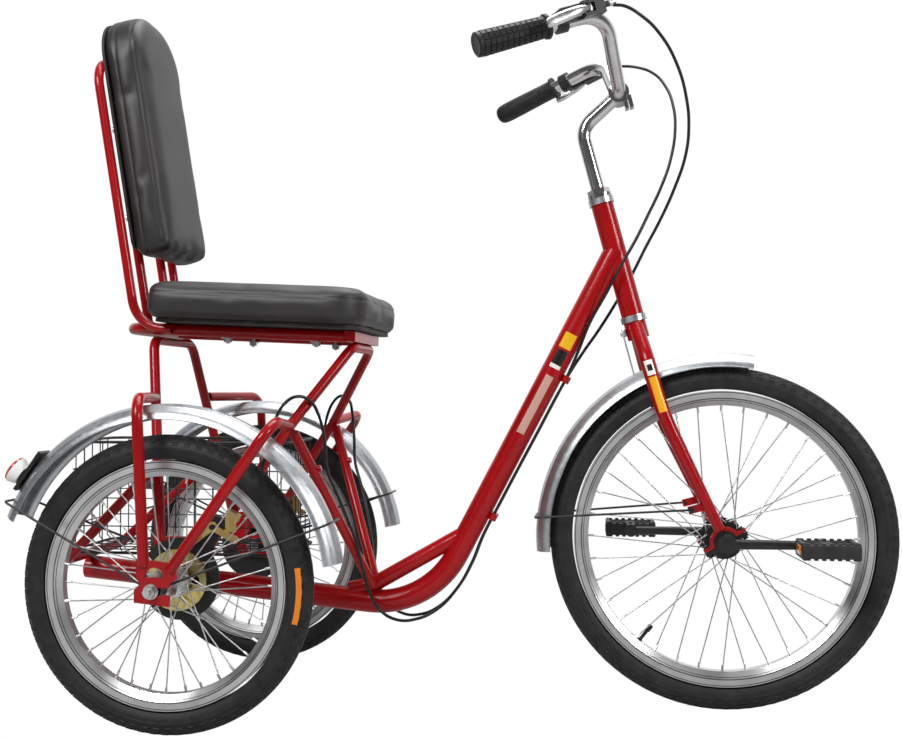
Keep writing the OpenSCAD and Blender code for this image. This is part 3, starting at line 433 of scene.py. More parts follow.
def tyre(node, body, steps):
    low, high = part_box(node)
    radius, half = (high.z - low.z) / 2, (high.y - low.y) / 2
    core, skin = radius - half, half - 0.0014
    section = []
    for at in range(-13, 14):
        turn = at * radians(132) / 13
        section.append((core + skin * cos(turn), skin * sin(turn)))
    piece = swept(node + "_rubber", section, steps, 2 * pi)

    def row(centre):
        away = Vector((centre.x, 0, centre.z))
        return atan2(centre.y, away.length - core), round(atan2(centre.z, centre.x) / (2 * pi) * steps - 0.5)

    def tread(centre, normal):
        lean, step = row(centre)
        return 0.09 < abs(lean) < 0.72 and (step + round(abs(lean) * 3.2)) % 2 == 0

    def knobs(centre, normal):
        lean, step = row(centre)
        return 0.90 < abs(lean) < 1.24 and step % 2 == 0

    def rib(centre, normal):
        return abs(row(centre)[0]) < 0.09

    def wall(centre, normal):
        return 1.42 < abs(row(centre)[0]) < 1.62

    only(piece)
    for test, border, depth in ((tread, 0.0008, 0.0011), (knobs, 0.0009, 0.0011)):
        pick(piece, test)
        bpy.ops.mesh.inset(thickness=border, depth=depth, use_individual=True)
        bpy.ops.object.mode_set(mode="OBJECT")
    for test, border, depth in ((rib, 0.0004, 0.0010), (wall, 0.0005, 0.0005)):
        pick(piece, test)
        bpy.ops.mesh.inset(thickness=border, depth=depth)
        bpy.ops.object.mode_set(mode="OBJECT")
    thicken(piece, 0.003)
    hub = middle(node)
    strip = (radius - 0.0175) if node.startswith("rear") else None
    piece.data.materials.append(tyre_rubber(node + "_rubber", hub, strip).material)
    settle(piece, Matrix.Translation(hub), 30)
    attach(piece, body)
    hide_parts(node)


tyre("front_tyre", "front_wheel", 180)
tyre("rear_tyre_right", "rear_wheel_right", 146)
tyre("rear_tyre_left", "rear_wheel_left", 146)


# ---------------------------------------------------------------- Nipples and valves
# A plated nipple holds each spoke in its rim, and one rubber-covered valve stem
# stands through each rim under a black cap.
def joined(pieces, name):
    for other in pieces:
        other.data.transform(other.matrix_world)
        other.matrix_world = Matrix.Identity(4)
    only(pieces[0])
    for other in pieces:
        other.select_set(True)
    if len(pieces) > 1:
        bpy.ops.object.join()
    piece = bpy.context.view_layer.objects.active
    piece.name = piece.data.name = name
    return piece


def turned(name, profile, steps=20):
    """A solid turned on the Z axis from (radius, height) points, with its own end caps."""
    profile = [(0.0, profile[0][1])] + list(profile) + [(0.0, profile[-1][1])]
    piece = swept(name, profile, steps, 2 * pi)
    piece.data.transform(Matrix.Rotation(radians(90), 4, "X"))
    only(piece)
    bpy.ops.object.mode_set(mode="EDIT")
    bpy.ops.mesh.select_all(action="SELECT")
    bpy.ops.mesh.remove_doubles(threshold=0.00002)
    bpy.ops.mesh.normals_make_consistent(inside=False)
    bpy.ops.object.mode_set(mode="OBJECT")
    return piece


def copy(piece, matrix):
    twin = piece.copy()
    twin.data = piece.data.copy()
    bpy.context.scene.collection.objects.link(twin)
    twin.data.transform(matrix)
    if matrix.determinant() < 0:
        twin.data.flip_normals()
    return twin


nipple_metal = zinc("nipple_plate", 0.6)
valve_rubber = black_enamel("valve_rubber", 0.010, 0.5)
for rim, body, valve_turn in (("front_rim", "front_wheel", 232), ("rear_rim_right", "rear_wheel_right", 60),
                              ("rear_rim_left", "rear_wheel_left", 60)):
    hub = middle(rim)
    low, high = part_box(rim)
    inner = (high.z - low.z) / 2 - 0.023
    seed = turned("nipple", [(0.0013, 0), (0.0019, 0.001), (0.0019, 0.009), (0.0026, 0.0115)], 6)
    made = []
    for at in range(36):
        turn = at * pi / 18
        root = hub + Vector((cos(turn) * (inner - 0.0095), (0.0038 if at % 2 == 0 else -0.0038),
                             sin(turn) * (inner - 0.0095)))
        outward = Vector((cos(turn), 0, sin(turn)))
        made.append(copy(seed, Matrix.Translation(root) @ outward.to_track_quat("Z", "Y").to_matrix().to_4x4()))
    bpy.data.objects.remove(seed)
    nipples = joined(made, rim + "_nipples")
    nipples.data.materials.append(nipple_metal.material)
    settle(nipples, Matrix.Identity(4))
    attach(nipples, body)

    stem = turned("valve", [(0.0040, 0), (0.0040, 0.003), (0.0028, 0.004), (0.0028, 0.020), (0.0040, 0.0205),
                            (0.0042, 0.030), (0.0034, 0.0315)], 16)
    turn = radians(valve_turn)
    outward = Vector((cos(turn), 0, sin(turn)))
    root = hub + outward * (inner + 0.001)
    settle(stem, Matrix.Translation(root) @ (-outward).to_track_quat("Z", "Y").to_matrix().to_4x4())
    stem.name = stem.data.name = rim + "_valve"
    stem.data.materials.append(valve_rubber.material)
    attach(stem, body)


# ---------------------------------------------------------------- Band brakes
# The back plates are pressed steel in black enamel with a gold passivated cable
# stop, and each gold brake arm is a pressed inverted V on its pivot.
plate = black_enamel("brake_plate_enamel", 0.016, 0.4)
point = plate.object_point()
bloom = plate.node("ShaderNodeTexNoise", {}, {"Vector": point, "Scale": 26.0, "Detail": 3.0, "Distortion": 0.5})
gold = plate.node("ShaderNodeValToRGB", {"stops": gold_stops}, {"Fac": bloom})
stop = plate.node("ShaderNodeSeparateXYZ", {}, {0: point}) > axle_x + 0.071
plate.feed("Base Color", plate.node("ShaderNodeMix", {"data_type": "RGBA"}, {
    0: stop, 6: (0.015, 0.015, 0.016, 1), 7: gold}, 2))
plate.feed("Metallic", stop * 1.0)
coat(plate, "brake_plates")

arm_gold = Finish("gold_passivate", Metallic=1.0)
point = arm_gold.object_point()
bloom = arm_gold.node("ShaderNodeTexNoise", {}, {
    "Vector": point, "Scale": 30.0, "Detail": 3.0, "Distortion": 0.8})
fine = arm_gold.node("ShaderNodeTexNoise", {}, {"Vector": point, "Scale": 800.0})
arm_gold.feed("Base Color", arm_gold.node("ShaderNodeValToRGB", {"stops": gold_stops}, {"Fac": bloom}))
arm_gold.feed("Roughness", 0.2 + bloom * 0.2)
arm_gold.bumps(fine, 0.00006, 0.4)
coat(arm_gold, "brake_arm_right", "brake_arm_left")


# ---------------------------------------------------------------- Pedals
# Each pedal is moulded black plastic: two toothed side rails, end bars holding
# orange reflectors, a ribbed middle round the spindle and open windows between.
def block(size, place, bevel=0.001, turn=None):
    """A block of the given size with its edges eased."""
    bpy.ops.object.select_all(action="DESELECT")
    bpy.ops.mesh.primitive_cube_add(size=1, location=place)
    piece = bpy.context.object
    piece.scale = size
    if turn:
        piece.rotation_euler = turn
    bpy.ops.object.transform_apply(location=False, rotation=False, scale=True)
    if bevel:
        bpy.ops.object.mode_set(mode="EDIT")
        bpy.ops.mesh.select_all(action="SELECT")
        bpy.ops.mesh.bevel(offset=bevel, segments=2, affect="EDGES")
        bpy.ops.object.mode_set(mode="OBJECT")
    return piece


pedal_plastic = black_enamel("pedal_plastic", 0.016, 0.48)
amber = Finish("amber_reflector", Roughness=0.12, Coat_Weight=0.6)
point = amber.object_point()
cells = amber.node("ShaderNodeTexVoronoi", {}, {"Vector": point, "Scale": 420.0})
amber.feed("Base Color", amber.node("ShaderNodeValToRGB", {"stops": [
    (0.0, (0.85, 0.30, 0.02)), (0.8, (0.60, 0.16, 0.01))]}, {"Fac": cells}))
amber.bumps(cells, 0.0003, 0.6)
for side, name in ((-1, "right"), (1, "left")):
    low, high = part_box("pedal_" + name)
    centre = (low + high) / 2
    w = high.y - low.y
    parts = []
    for end in (-1, 1):
        parts.append(block((0.083, 0.008, 0.020), centre + Vector((0, end * (w / 2 - 0.0045), 0)), 0.002))
        parts.append(block((0.007, w - 0.004, 0.024), centre + Vector((end * 0.038, 0, 0)), 0.002))
        for at in range(7):
            tooth = centre + Vector((-0.033 + at * 0.011, end * (w / 2 - 0.0045), 0))
            parts.append(block((0.006, 0.005, 0.0250), tooth, 0.0008))
        for at in (-1, 1):
            parts.append(block((0.004, 0.012, 0.0256), centre + Vector((end * 0.038, at * 0.024, 0)), 0.0008))
    parts.append(block((0.021, w - 0.006, 0.018), centre, 0.004))
    for at in (-1, 0, 1):
        parts.append(block((0.074, 0.0035, 0.019), centre + Vector((0, at * 0.0175, 0)), 0.001))
    body = joined(parts, f"pedal_{name}_moulding")
    body.data.materials.append(pedal_plastic.material)
    settle(body, Matrix.Identity(4), 30)
    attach(body, f"pedal_{name}_body")
    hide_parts("pedal_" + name)
    lamps = joined([block((0.0015, 0.032, 0.014), centre + Vector((end * 0.0415, 0, 0)), 0.0006)
                    for end in (-1, 1)], f"pedal_{name}_reflectors")
    lamps.data.materials.append(amber.material)
    settle(lamps, Matrix.Identity(4), 30)
    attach(lamps, f"pedal_{name}_body")


# ---------------------------------------------------------------- Mudguards
# The mudguards are rolled from galvanised strip with a raised crown, a crease on
# each side and turned edges. The front one hangs on a tab and a black wire stay.
galvanised = Finish("galvanised_strip", Metallic=1.0)
point = galvanised.object_point()
flakes = galvanised.node("ShaderNodeTexVoronoi", {"feature": "F1"}, {"Vector": point, "Scale": 190.0}, 1)
tone = galvanised.node("ShaderNodeSeparateXYZ", {}, {0: flakes})
cloud = galvanised.node("ShaderNodeTexNoise", {}, {"Vector": point, "Scale": 14.0, "Detail": 4.0})
galvanised.feed("Base Color", galvanised.node("ShaderNodeValToRGB", {"stops": [
    (0.0, (0.47, 0.49, 0.51)), (1.0, (0.62, 0.645, 0.665))]}, {"Fac": tone * 0.5 + cloud * 0.5}))
galvanised.feed("Roughness", 0.26 + cloud * 0.16 + tone * 0.06)
galvanised.bumps(tone, 0.00005, 0.4)

guard_half = [(0.0, 0.0), (0.0060, 0.0003), (0.0076, 0.0016), (0.0120, 0.0024), (0.0165, 0.0046),
              (0.0180, 0.0066), (0.0225, 0.0096), (0.0262, 0.0136), (0.0284, 0.0176), (0.0292, 0.0205),
              (0.0302, 0.0218)]


def guard(name, hub, radius, start, end):
    sides = [(radius - drop, -away) for away, drop in reversed(guard_half[1:])]
    profile = sides + [(radius - drop, away) for away, drop in guard_half]
    piece = swept(name, profile, 60, radians(end - start))
    piece.data.transform(Matrix.Rotation(-radians(start), 4, "Y"))
    thicken(piece, 0.0014)
    settle(piece, Matrix.Translation(hub), 50)
    return piece


for name in ("right", "left"):
    piece = guard(f"rear_mudguard_{name}", middle("rear_tyre_" + name), 0.2655, 8, 158)
    piece.data.materials.append(galvanised.material)
    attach(piece, "frame")
    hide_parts("rear_fender_" + name)


def wire(name, routes, radius, smooth=False, loops=False, fine=2):
    """Round wire along each route of points, as one mesh."""
    line = bpy.data.curves.new(name, "CURVE")
    line.dimensions = "3D"
    line.bevel_depth = radius
    line.bevel_resolution = fine
    line.use_fill_caps = True
    line.resolution_u = 8
    for route in routes:
        run = line.splines.new("BEZIER")
        run.bezier_points.add(len(route) - 1)
        for corner, place in zip(run.bezier_points, route):
            corner.co = place
            corner.handle_left_type = corner.handle_right_type = "AUTO" if smooth else "VECTOR"
        run.use_cyclic_u = loops
        if not smooth:
            run.resolution_u = 1
    piece = bpy.data.objects.new(name, line)
    bpy.context.scene.collection.objects.link(piece)
    only(piece)
    bpy.ops.object.convert(target="MESH")
    bpy.ops.object.shade_smooth_by_angle(angle=radians(50))
    return bpy.context.object


def rounded(points, radius, closed=False, steps=5):
    """The points with each corner replaced by a short arc."""
    points = [Vector(p) for p in points]
    out = [] if closed else [points[0]]
    for at in range(len(points)) if closed else range(1, len(points) - 1):
        corner, before, after = points[at], points[at - 1], points[(at + 1) % len(points)]
        a, b = (before - corner).normalized(), (after - corner).normalized()
        reach = radius / max(0.2, (1 - a.dot(b)) / 2) ** 0.5 * max(0.0, (1 + a.dot(b)) / 2) ** 0.5
        start, end = corner + a * reach, corner + b * reach
        for k in range(steps + 1):
            t = k / steps
            out.append(start * (1 - t) ** 2 + corner * 2 * t * (1 - t) + end * t * t)
    return out if closed else out + [points[-1]]


front_guard = guard("front_mudguard", front, 0.294, 80, 185)
front_guard.data.materials.append(galvanised.material)
only(front_guard)
tab = block((0.002, 0.020, 0.086), (0, 0, 0), 0.0005)
tab.data.transform(Matrix.Translation((-0.0228, 0, 0.319)))
foot = block((0.005, 0.020, 0.012), (0, 0, 0), 0.0008)
foot.data.transform(Matrix.Translation((-0.0203, 0, 0.354)))
screw = turned("screw", [(0.0022, -0.004), (0.0040, -0.0038), (0.0040, 0.0)], 12)
screw.data.transform(Matrix.Translation((-0.0228, 0, 0.354)) @ Matrix.Rotation(radians(90), 4, "Y"))
fittings = joined([tab, foot, screw], "front_mudguard_tab")
in_place = Matrix.Translation(steer(0, 0, 0)) @ Matrix.Rotation(-tilt, 4, "Y")
settle(fittings, in_place, 30)
fittings.data.materials.append(galvanised.material)
eye = 0.06155
over = 0.29605
reach = radians(174)
crest = front + Vector((cos(reach) * over, 0, sin(reach) * over))
lug = steer(0.005, eye, 0.061)
across = [Vector((lug.x, -eye, lug.z)), crest - Vector((0, 0.033, 0)), crest + Vector((0, 0.033, 0)), lug]
stay = wire("front_mudguard_stay", [rounded(across, 0.008)], 0.00175)
eyes = []
for side in (-1, 1):
    ring = turned("eye", [(0.0024, -0.00175), (0.0050, -0.0016), (0.0050, 0.0016), (0.0024, 0.00175)], 20)
    bolt = turned("bolt", [(0.0023, -0.006), (0.0023, 0.0018), (0.0042, 0.0019), (0.0040, 0.0040)], 12)
    for part in (ring, bolt):
        turned_out = Matrix.Rotation(-side * pi / 2, 4, "X")
        part.data.transform(Matrix.Translation((lug.x, side * eye, lug.z)) @ turned_out)
    eyes += [ring, bolt]
stay = joined([stay] + eyes, "front_mudguard_stay")
stay.data.materials.clear()
stay.data.materials.append(black.material)
for piece, slot in ((front_guard, "zinc_steel"), (fittings, "zinc_steel"), (stay, "black_paint")):
    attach(piece, "steering")
    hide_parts("front_fender")


# ---------------------------------------------------------------- Tail lamp
# A white moulded bowl on a black bracket holds a domed red lens with fine
# ribs inside it.
white = Finish("white_moulding", Roughness=0.28, Coat_Weight=0.3)
point = white.object_point()
soil = white.node("ShaderNodeTexNoise", {}, {"Vector": point, "Scale": 60.0, "Detail": 4.0})
white.feed("Base Color", white.node("ShaderNodeValToRGB", {"stops": [
    (0.3, (0.72, 0.72, 0.70)), (0.7, (0.82, 0.82, 0.80))]}, {"Fac": soil}))
white.feed("Roughness", 0.22 + soil * 0.12)
coat(white, "lamp_housing")
red_lens = Finish("red_lens", Roughness=0.1, Coat_Weight=1.0, Coat_Roughness=0.03)
point = red_lens.object_point(middle("lamp_lens"))
prisms = red_lens.node("ShaderNodeTexVoronoi", {}, {"Vector": point, "Scale": 320.0})
red_lens.feed("Base Color", red_lens.node("ShaderNodeValToRGB", {"stops": [
    (0.0, (0.62, 0.012, 0.012)), (0.8, (0.30, 0.004, 0.006))]}, {"Fac": prisms}))
red_lens.feed("Roughness", 0.06 + prisms * 0.15)
red_lens.bumps(prisms, 0.0004, 0.5)
coat(red_lens, "lamp_lens")


# ---------------------------------------------------------------- Wire basket
# The luggage basket is welded from black coated wire: thick top and bottom
# hoops, thin uprights and rails between, a wire floor and hooks over the carrier.
low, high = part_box("basket")
wall = 0.092
thin, thick = 0.0011, 0.0024
rim_z = high.z - thick
hooks = {}
for corner in nodes["basket"].data.vertices:
    if abs(corner.co.y) > wall + 0.004:
        key = (corner.co.x > (low.x + high.x) / 2 - 0.06, corner.co.y > 0)
        hooks.setdefault(key, []).append(corner.co.copy())
back, ahead = low.x, high.x


def hoop(z, inset, corner=0.028):
    y = wall - inset
    return rounded([(back + inset, -y, z), (ahead - inset, -y, z), (ahead - inset, y, z), (back + inset, y, z)],
                   corner, True)


stout = wire("hoops", [hoop(rim_z, thick), hoop(low.z + thick, thick)], thick, loops=True)
rails = wire("rails", [hoop(low.z + (rim_z - low.z) * k / 4, thick + thin * 0.4) for k in range(1, 4)], thin,
             loops=True, fine=1)
drop = low.z + 0.0022
ups = []
count = 12
for k in range(1, count):
    x = back + (ahead - back) * k / count
    y = wall - thick - thin
    ups.append([(x, -y, rim_z), (x, -y, drop + 0.008), (x, -y + 0.008, drop), (x, y - 0.008, drop),
                (x, y, drop + 0.008), (x, y, rim_z)])
for k in range(1, 6):
    y = -wall + 2 * wall * k / 6
    x0, x1 = back + thick + thin, ahead - thick - thin
    ups.append([(x0, y, rim_z), (x0, y, drop + 0.010), (x0 + 0.008, y, drop + 0.002),
                (x1 - 0.008, y, drop + 0.002), (x1, y, drop + 0.010), (x1, y, rim_z)])
uprights = wire("uprights", ups, thin, fine=1)
claws = []
for tips in hooks.values():
    lows = Vector([min(p[k] for p in tips) for k in range(3)])
    highs = Vector([max(p[k] for p in tips) for k in range(3)])
    side = 1 if highs.y > 0 else -1
    end = highs.y if side > 0 else lows.y
    mid = (lows + highs) / 2
    claws.append([(mid.x, side * (wall - 0.002), mid.z), (mid.x, end, mid.z)])
pieces = [stout, rails, uprights]
if claws:
    pieces.append(wire("claws", claws, 0.00165))
basket = joined(pieces, "wire_basket")
basket.data.materials.clear()
basket.data.materials.append(black_enamel("basket_coating", 0.010, 0.36).material)
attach(basket, "frame")
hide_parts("basket")


# ---------------------------------------------------------------- Seat boards
# Both cushions are stapled round thin plywood boards, stained black.
board = Finish("stained_board", Roughness=0.7)
point = board.object_point()
grain = board.node("ShaderNodeTexWave", {"bands_direction": "Y"}, {
    "Vector": point, "Scale": 60.0, "Distortion": 6.0, "Detail": 3.0})
board.feed("Base Color", board.node("ShaderNodeValToRGB", {"stops": [
    (0.2, (0.010, 0.009, 0.008)), (0.8, (0.030, 0.025, 0.021))]}, {"Fac": grain}))
board.feed("Roughness", 0.6 + grain * 0.2)
board.bumps(grain, 0.0002, 0.4)
coat(board, "seat_board", "backrest_board")


# ---------------------------------------------------------------- Cushions
# Foam pads covered in black leatherette: a top panel sewn to a boxed side wall
# with a seam round the edge, pulled down over the board and creased at the folds.
def leatherette(name, middle_point):
    paint = Finish(name, Specular_IOR_Level=0.45)
    point = paint.object_point(middle_point)
    pores = paint.node("ShaderNodeTexVoronoi", {"feature": "DISTANCE_TO_EDGE"}, {
        "Vector": point, "Scale": 620.0})
    pull = paint.node("ShaderNodeTexNoise", {}, {"Vector": point, "Scale": 16.0, "Detail": 3.0})
    shade = paint.node("ShaderNodeTexNoise", {}, {"Vector": point, "Scale": 5.0, "Detail": 2.0})
    paint.feed("Base Color", paint.node("ShaderNodeValToRGB", {"stops": [
        (0.3, (0.014, 0.0125, 0.0125)), (0.75, (0.026, 0.023, 0.0225))]}, {"Fac": shade}))
    paint.feed("Roughness", 0.40 + pull * 0.12)
    paint.bumps(pores * 0.6 + pull * 1.2, 0.0004, 0.5)
    return paint


def outline_solid(name, outline, height):
    """A block from a closed outline in the XY plane, its height along +Z."""
    bpy.ops.object.select_all(action="DESELECT")
    bpy.ops.mesh.primitive_circle_add(vertices=len(outline), radius=0.1, fill_type="NGON")
    piece = bpy.context.object
    piece.name = piece.data.name = name
    for corner, (x, y) in zip(piece.data.vertices, outline):
        corner.co = (x, y, 0)
    bpy.ops.object.mode_set(mode="EDIT")
    bpy.ops.mesh.select_all(action="SELECT")
    bpy.ops.mesh.extrude_region_move(TRANSFORM_OT_translate={"value": (0, 0, height)})
    bpy.ops.mesh.select_all(action="SELECT")
    bpy.ops.mesh.normals_make_consistent(inside=False)
    bpy.ops.object.mode_set(mode="OBJECT")
    return piece


def stuffed(piece, voxel, cap, edges):
    """Rounds the block's top and bottom edges, remeshes it and swells it like a filled cover."""
    only(piece)
    top = max(v.co.z for v in piece.data.vertices)
    bpy.ops.object.mode_set(mode="EDIT")
    bpy.ops.mesh.select_mode(type="EDGE")
    for level, size in ((top, edges[0]), (0.0, edges[1])):
        bpy.ops.mesh.select_all(action="DESELECT")
        bpy.ops.object.mode_set(mode="OBJECT")
        for edge in piece.data.edges:
            edge.select = all(abs(piece.data.vertices[v].co.z - level) < 1e-5 for v in edge.vertices)
        bpy.ops.object.mode_set(mode="EDIT")
        bpy.ops.mesh.bevel(offset=size, segments=4, affect="EDGES")
    bpy.ops.object.mode_set(mode="OBJECT")
    remesh = piece.modifiers.new("even", "REMESH")
    remesh.mode, remesh.voxel_size = "VOXEL", voxel
    bpy.ops.object.modifier_apply(modifier="even")
    before = [v.co.copy() for v in piece.data.vertices]
    cloth = piece.modifiers.new("cover", "CLOTH")
    cloth.settings.use_pressure = True
    cloth.settings.uniform_pressure_force = 2
    cloth.settings.effector_weights.gravity = 0
    cloth.settings.quality = 6
    cloth.point_cache.frame_end = 20
    for step in range(1, 21):
        bpy.context.scene.frame_set(step)
    only(piece)
    bpy.ops.object.modifier_apply(modifier="cover")
    for vertex, was in zip(piece.data.vertices, before):
        move = vertex.co - was
        if move.length > cap:
            vertex.co = was + move * (cap / move.length)
    bpy.context.scene.frame_set(1)
    smooth = piece.modifiers.new("smooth", "SMOOTH")
    smooth.factor, smooth.iterations = 0.5, 9
    bpy.ops.object.modifier_apply(modifier="smooth")
    finer = piece.modifiers.new("finer", "SUBSURF")
    finer.levels = finer.render_levels = 1
    bpy.ops.object.modifier_apply(modifier="finer")
    return piece


def groove(distance, width, depth):
    return -depth * exp(-(distance / width) ** 2)


def arc(cx, cy, radius, start, end, steps):
    return [(cx + radius * cos(radians(start + (end - start) * k / steps)),
             cy + radius * sin(radians(start + (end - start) * k / steps))) for k in range(steps + 1)]


def settle_soft(piece, matrix, paint, node):
    only(piece)
    piece.data.transform(matrix)
    piece.data.materials.clear()
    piece.data.materials.append(paint.material)
    bpy.ops.object.shade_smooth()
    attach(piece, "frame")
    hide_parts(node)


seat_origin = Matrix.Translation((axle_x - 0.051, 0, 0.604))
seat_place = seat_origin @ Matrix.Rotation(radians(2.6), 4, "Y")
length, breadth, tall, shrink = 0.352, 0.326, 0.054, 0.001
r, q = 0.046, 0.018
l0, l1, b = shrink, length - shrink, breadth / 2 - shrink
seat_line = (arc(l1 - r, b - r, r, 0, 90, 8) + arc(l0 + q, b - q, q, 90, 180, 6)
             + arc(l0 + q, q - b, q, 180, 270, 6) + arc(l1 - r, r - b, r, 270, 360, 8))
seat = stuffed(outline_solid("seat_pad", seat_line, tall - 0.001), 0.005, 0.004, (0.015, 0.005))
mid = Vector((length / 2, 0, 0))
upper_seam, lower_seam = 0.0385, 0.004
for vertex in seat.data.vertices:
    p = vertex.co
    ex, ey = (p.x - mid.x) / (length / 2), p.y / (breadth / 2)
    crown = max(0.0, 1 - ex ** 4) * max(0.0, 1 - ey ** 4)
    upper = min(1.0, max(0.0, (p.z - 0.02) / 0.02))
    p.z += 0.0035 * crown * upper
    p.z = max(p.z, 0.0)
    out = Vector((ex * abs(ex) ** 2, ey * abs(ey) ** 2, 0))
    if out.length > 1e-4:
        out.normalize()
        side = max(abs(ex), abs(ey)) > 0.86
        if side:
            p += out * groove(p.z - upper_seam, 0.0016, 0.0013)
            p += out * groove(p.z - lower_seam, 0.004, 0.0015)
            p += out * 0.0006 * sin(p.x * 42 + p.y * 31) * sin(p.z * 90)
seat_leather = leatherette("seat_leatherette", seat_place @ mid)
settle_soft(seat, seat_place @ Matrix.Translation((-0.026, 0, 0.0165)), seat_leather, "seat_cushion")

lean = radians(9.4)
back_origin = seat_place @ Vector((-0.057, 0, 0))
back_place = Matrix.Translation(back_origin) @ Matrix.Rotation(-lean, 4, "Y")
wide, high_pad, deep = 0.198, 0.418, 0.065
s = 0.004
shoulder = wide * 0.42 - s
w, h = wide / 2 - s, high_pad - s
back_line = ([(-w + 0.016, s), (w - 0.016, s)] + arc(w - 0.016, s + 0.016, 0.016, -90, 0, 5)[1:]
             + arc(w - shoulder, h - shoulder, shoulder, 0, 90, 14)
             + arc(shoulder - w, h - shoulder, shoulder, 90, 180, 14)
             + arc(-w + 0.016, s + 0.016, 0.016, 180, 270, 5)[:-1])
pad = stuffed(outline_solid("backrest_pad", back_line, deep - 0.006), 0.005, 0.003, (0.013, 0.006))
rear_seam, front_seam = 0.019, 0.047
for vertex in pad.data.vertices:
    p = vertex.co
    ex, ey = p.x / (wide / 2), (p.y - high_pad / 2) / (high_pad / 2)
    upper = min(1.0, max(0.0, (p.z - 0.02) / 0.02))
    p.z += 0.003 * max(0.0, 1 - ex ** 4) * max(0.0, 1 - ey ** 4) * upper
    p.z = max(p.z, 0.0)
    out = Vector((p.x, max(0.0, p.y - (high_pad - 0.09)) if p.y > high_pad / 2 else min(0.0, p.y - 0.02), 0))
    in_arch = Vector((p.x, p.y - (high_pad - 0.09))).length > 0.078 and p.y > 0.27
    rim = abs(ex) > 0.84 or p.y < 0.020 or in_arch
    if rim and out.length > 1e-4:
        out.normalize()
        p += out * (groove(p.z - rear_seam, 0.0016, 0.0016) + groove(p.z - front_seam, 0.0015, 0.0010))
        if p.y < 0.05:
            fold = (0.05 - p.y) / 0.05
            p += out * 0.0016 * fold * sin(p.x * 95 + p.z * 60)
            p.z += 0.0012 * fold * sin(p.x * 140 + 1.3)
pad_leather = leatherette("backrest_leatherette", back_place @ Vector((0.05, 0, 0.3)))
stand = Matrix(((0, 0, 1, 0.0125), (1, 0, 0, 0), (0, 1, 0, 0.112), (0, 0, 0, 1)))
settle_soft(pad, back_place @ stand, pad_leather, "backrest_cushion")


# ---------------------------------------------------------------- Grips
# The grips are soft black rubber pushed over the bar ends: rows of raised pads
# on the right one, fine rings on the left one, each with an inner flange.
clamp = steer(0.072, 0, 0.730)
bar_end = clamp + Vector((-0.206, -0.213, 0.025))
bar_corner = clamp + Vector((-0.023, -0.135, 0.092))
run = bar_corner - bar_end
yaw = atan2(run.y, run.x)
pitch = atan2(run.z, sqrt(run.x ** 2 + run.y ** 2))
right_hand = Matrix.Translation(bar_end) @ Matrix.Rotation(yaw, 4, "Z") @ Matrix.Rotation(-pitch, 4, "Y")
left_hand = Matrix.Scale(-1, 4, (0, 1, 0)) @ right_hand
lay_down = Matrix.Rotation(radians(90), 4, "Y")

grip_rubber = black_enamel("grip_rubber", 0.009, 0.5)
rings = [(0.0125, -0.0045), (0.0165, -0.0050), (0.0188, -0.0035), (0.0190, 0.0)]
z, pitch_z = 0.003, 0.0093
while z < 0.100:
    rings += [(0.0183 - 0.028 * z, z), (0.0183 - 0.028 * z, z + 0.0080)]
    z += pitch_z
body = [(0.0158, 0.1065), (0.0190, 0.1080), (0.0195, 0.1105), (0.0190, 0.1130), (0.0150, 0.1130)]
right_grip = turned("right_grip", rings + body, 12)
only(right_grip)
pick(right_grip, lambda c, n: 0.003 < c.z < 0.105 and abs(n.z) < 0.2 and ((c.z - 0.003) % pitch_z) < 0.0078
     and sqrt(c.x ** 2 + c.y ** 2) > 0.0135)
bpy.ops.mesh.inset(thickness=0.0006, depth=0.0012, use_individual=True)
bpy.ops.object.mode_set(mode="OBJECT")
soft = [(0.0050, -0.0074), (0.0095, -0.0064), (0.0130, -0.0040), (0.0152, 0.000), (0.0163, 0.006),
        (0.0168, 0.016), (0.0166, 0.040), (0.0160, 0.070)]
z = 0.084
while z < 0.102:
    soft += [(0.0158, z), (0.0152, z + 0.0008), (0.0152, z + 0.0018), (0.0158, z + 0.0026)]
    z += 0.0060
left_grip = turned("left_grip", soft + body, 28)
for piece, place in ((right_grip, right_hand), (left_grip, left_hand)):
    piece.data.materials.append(grip_rubber.material)
    settle(piece, place @ lay_down, 35)
    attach(piece, "steering")
    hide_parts("grips")


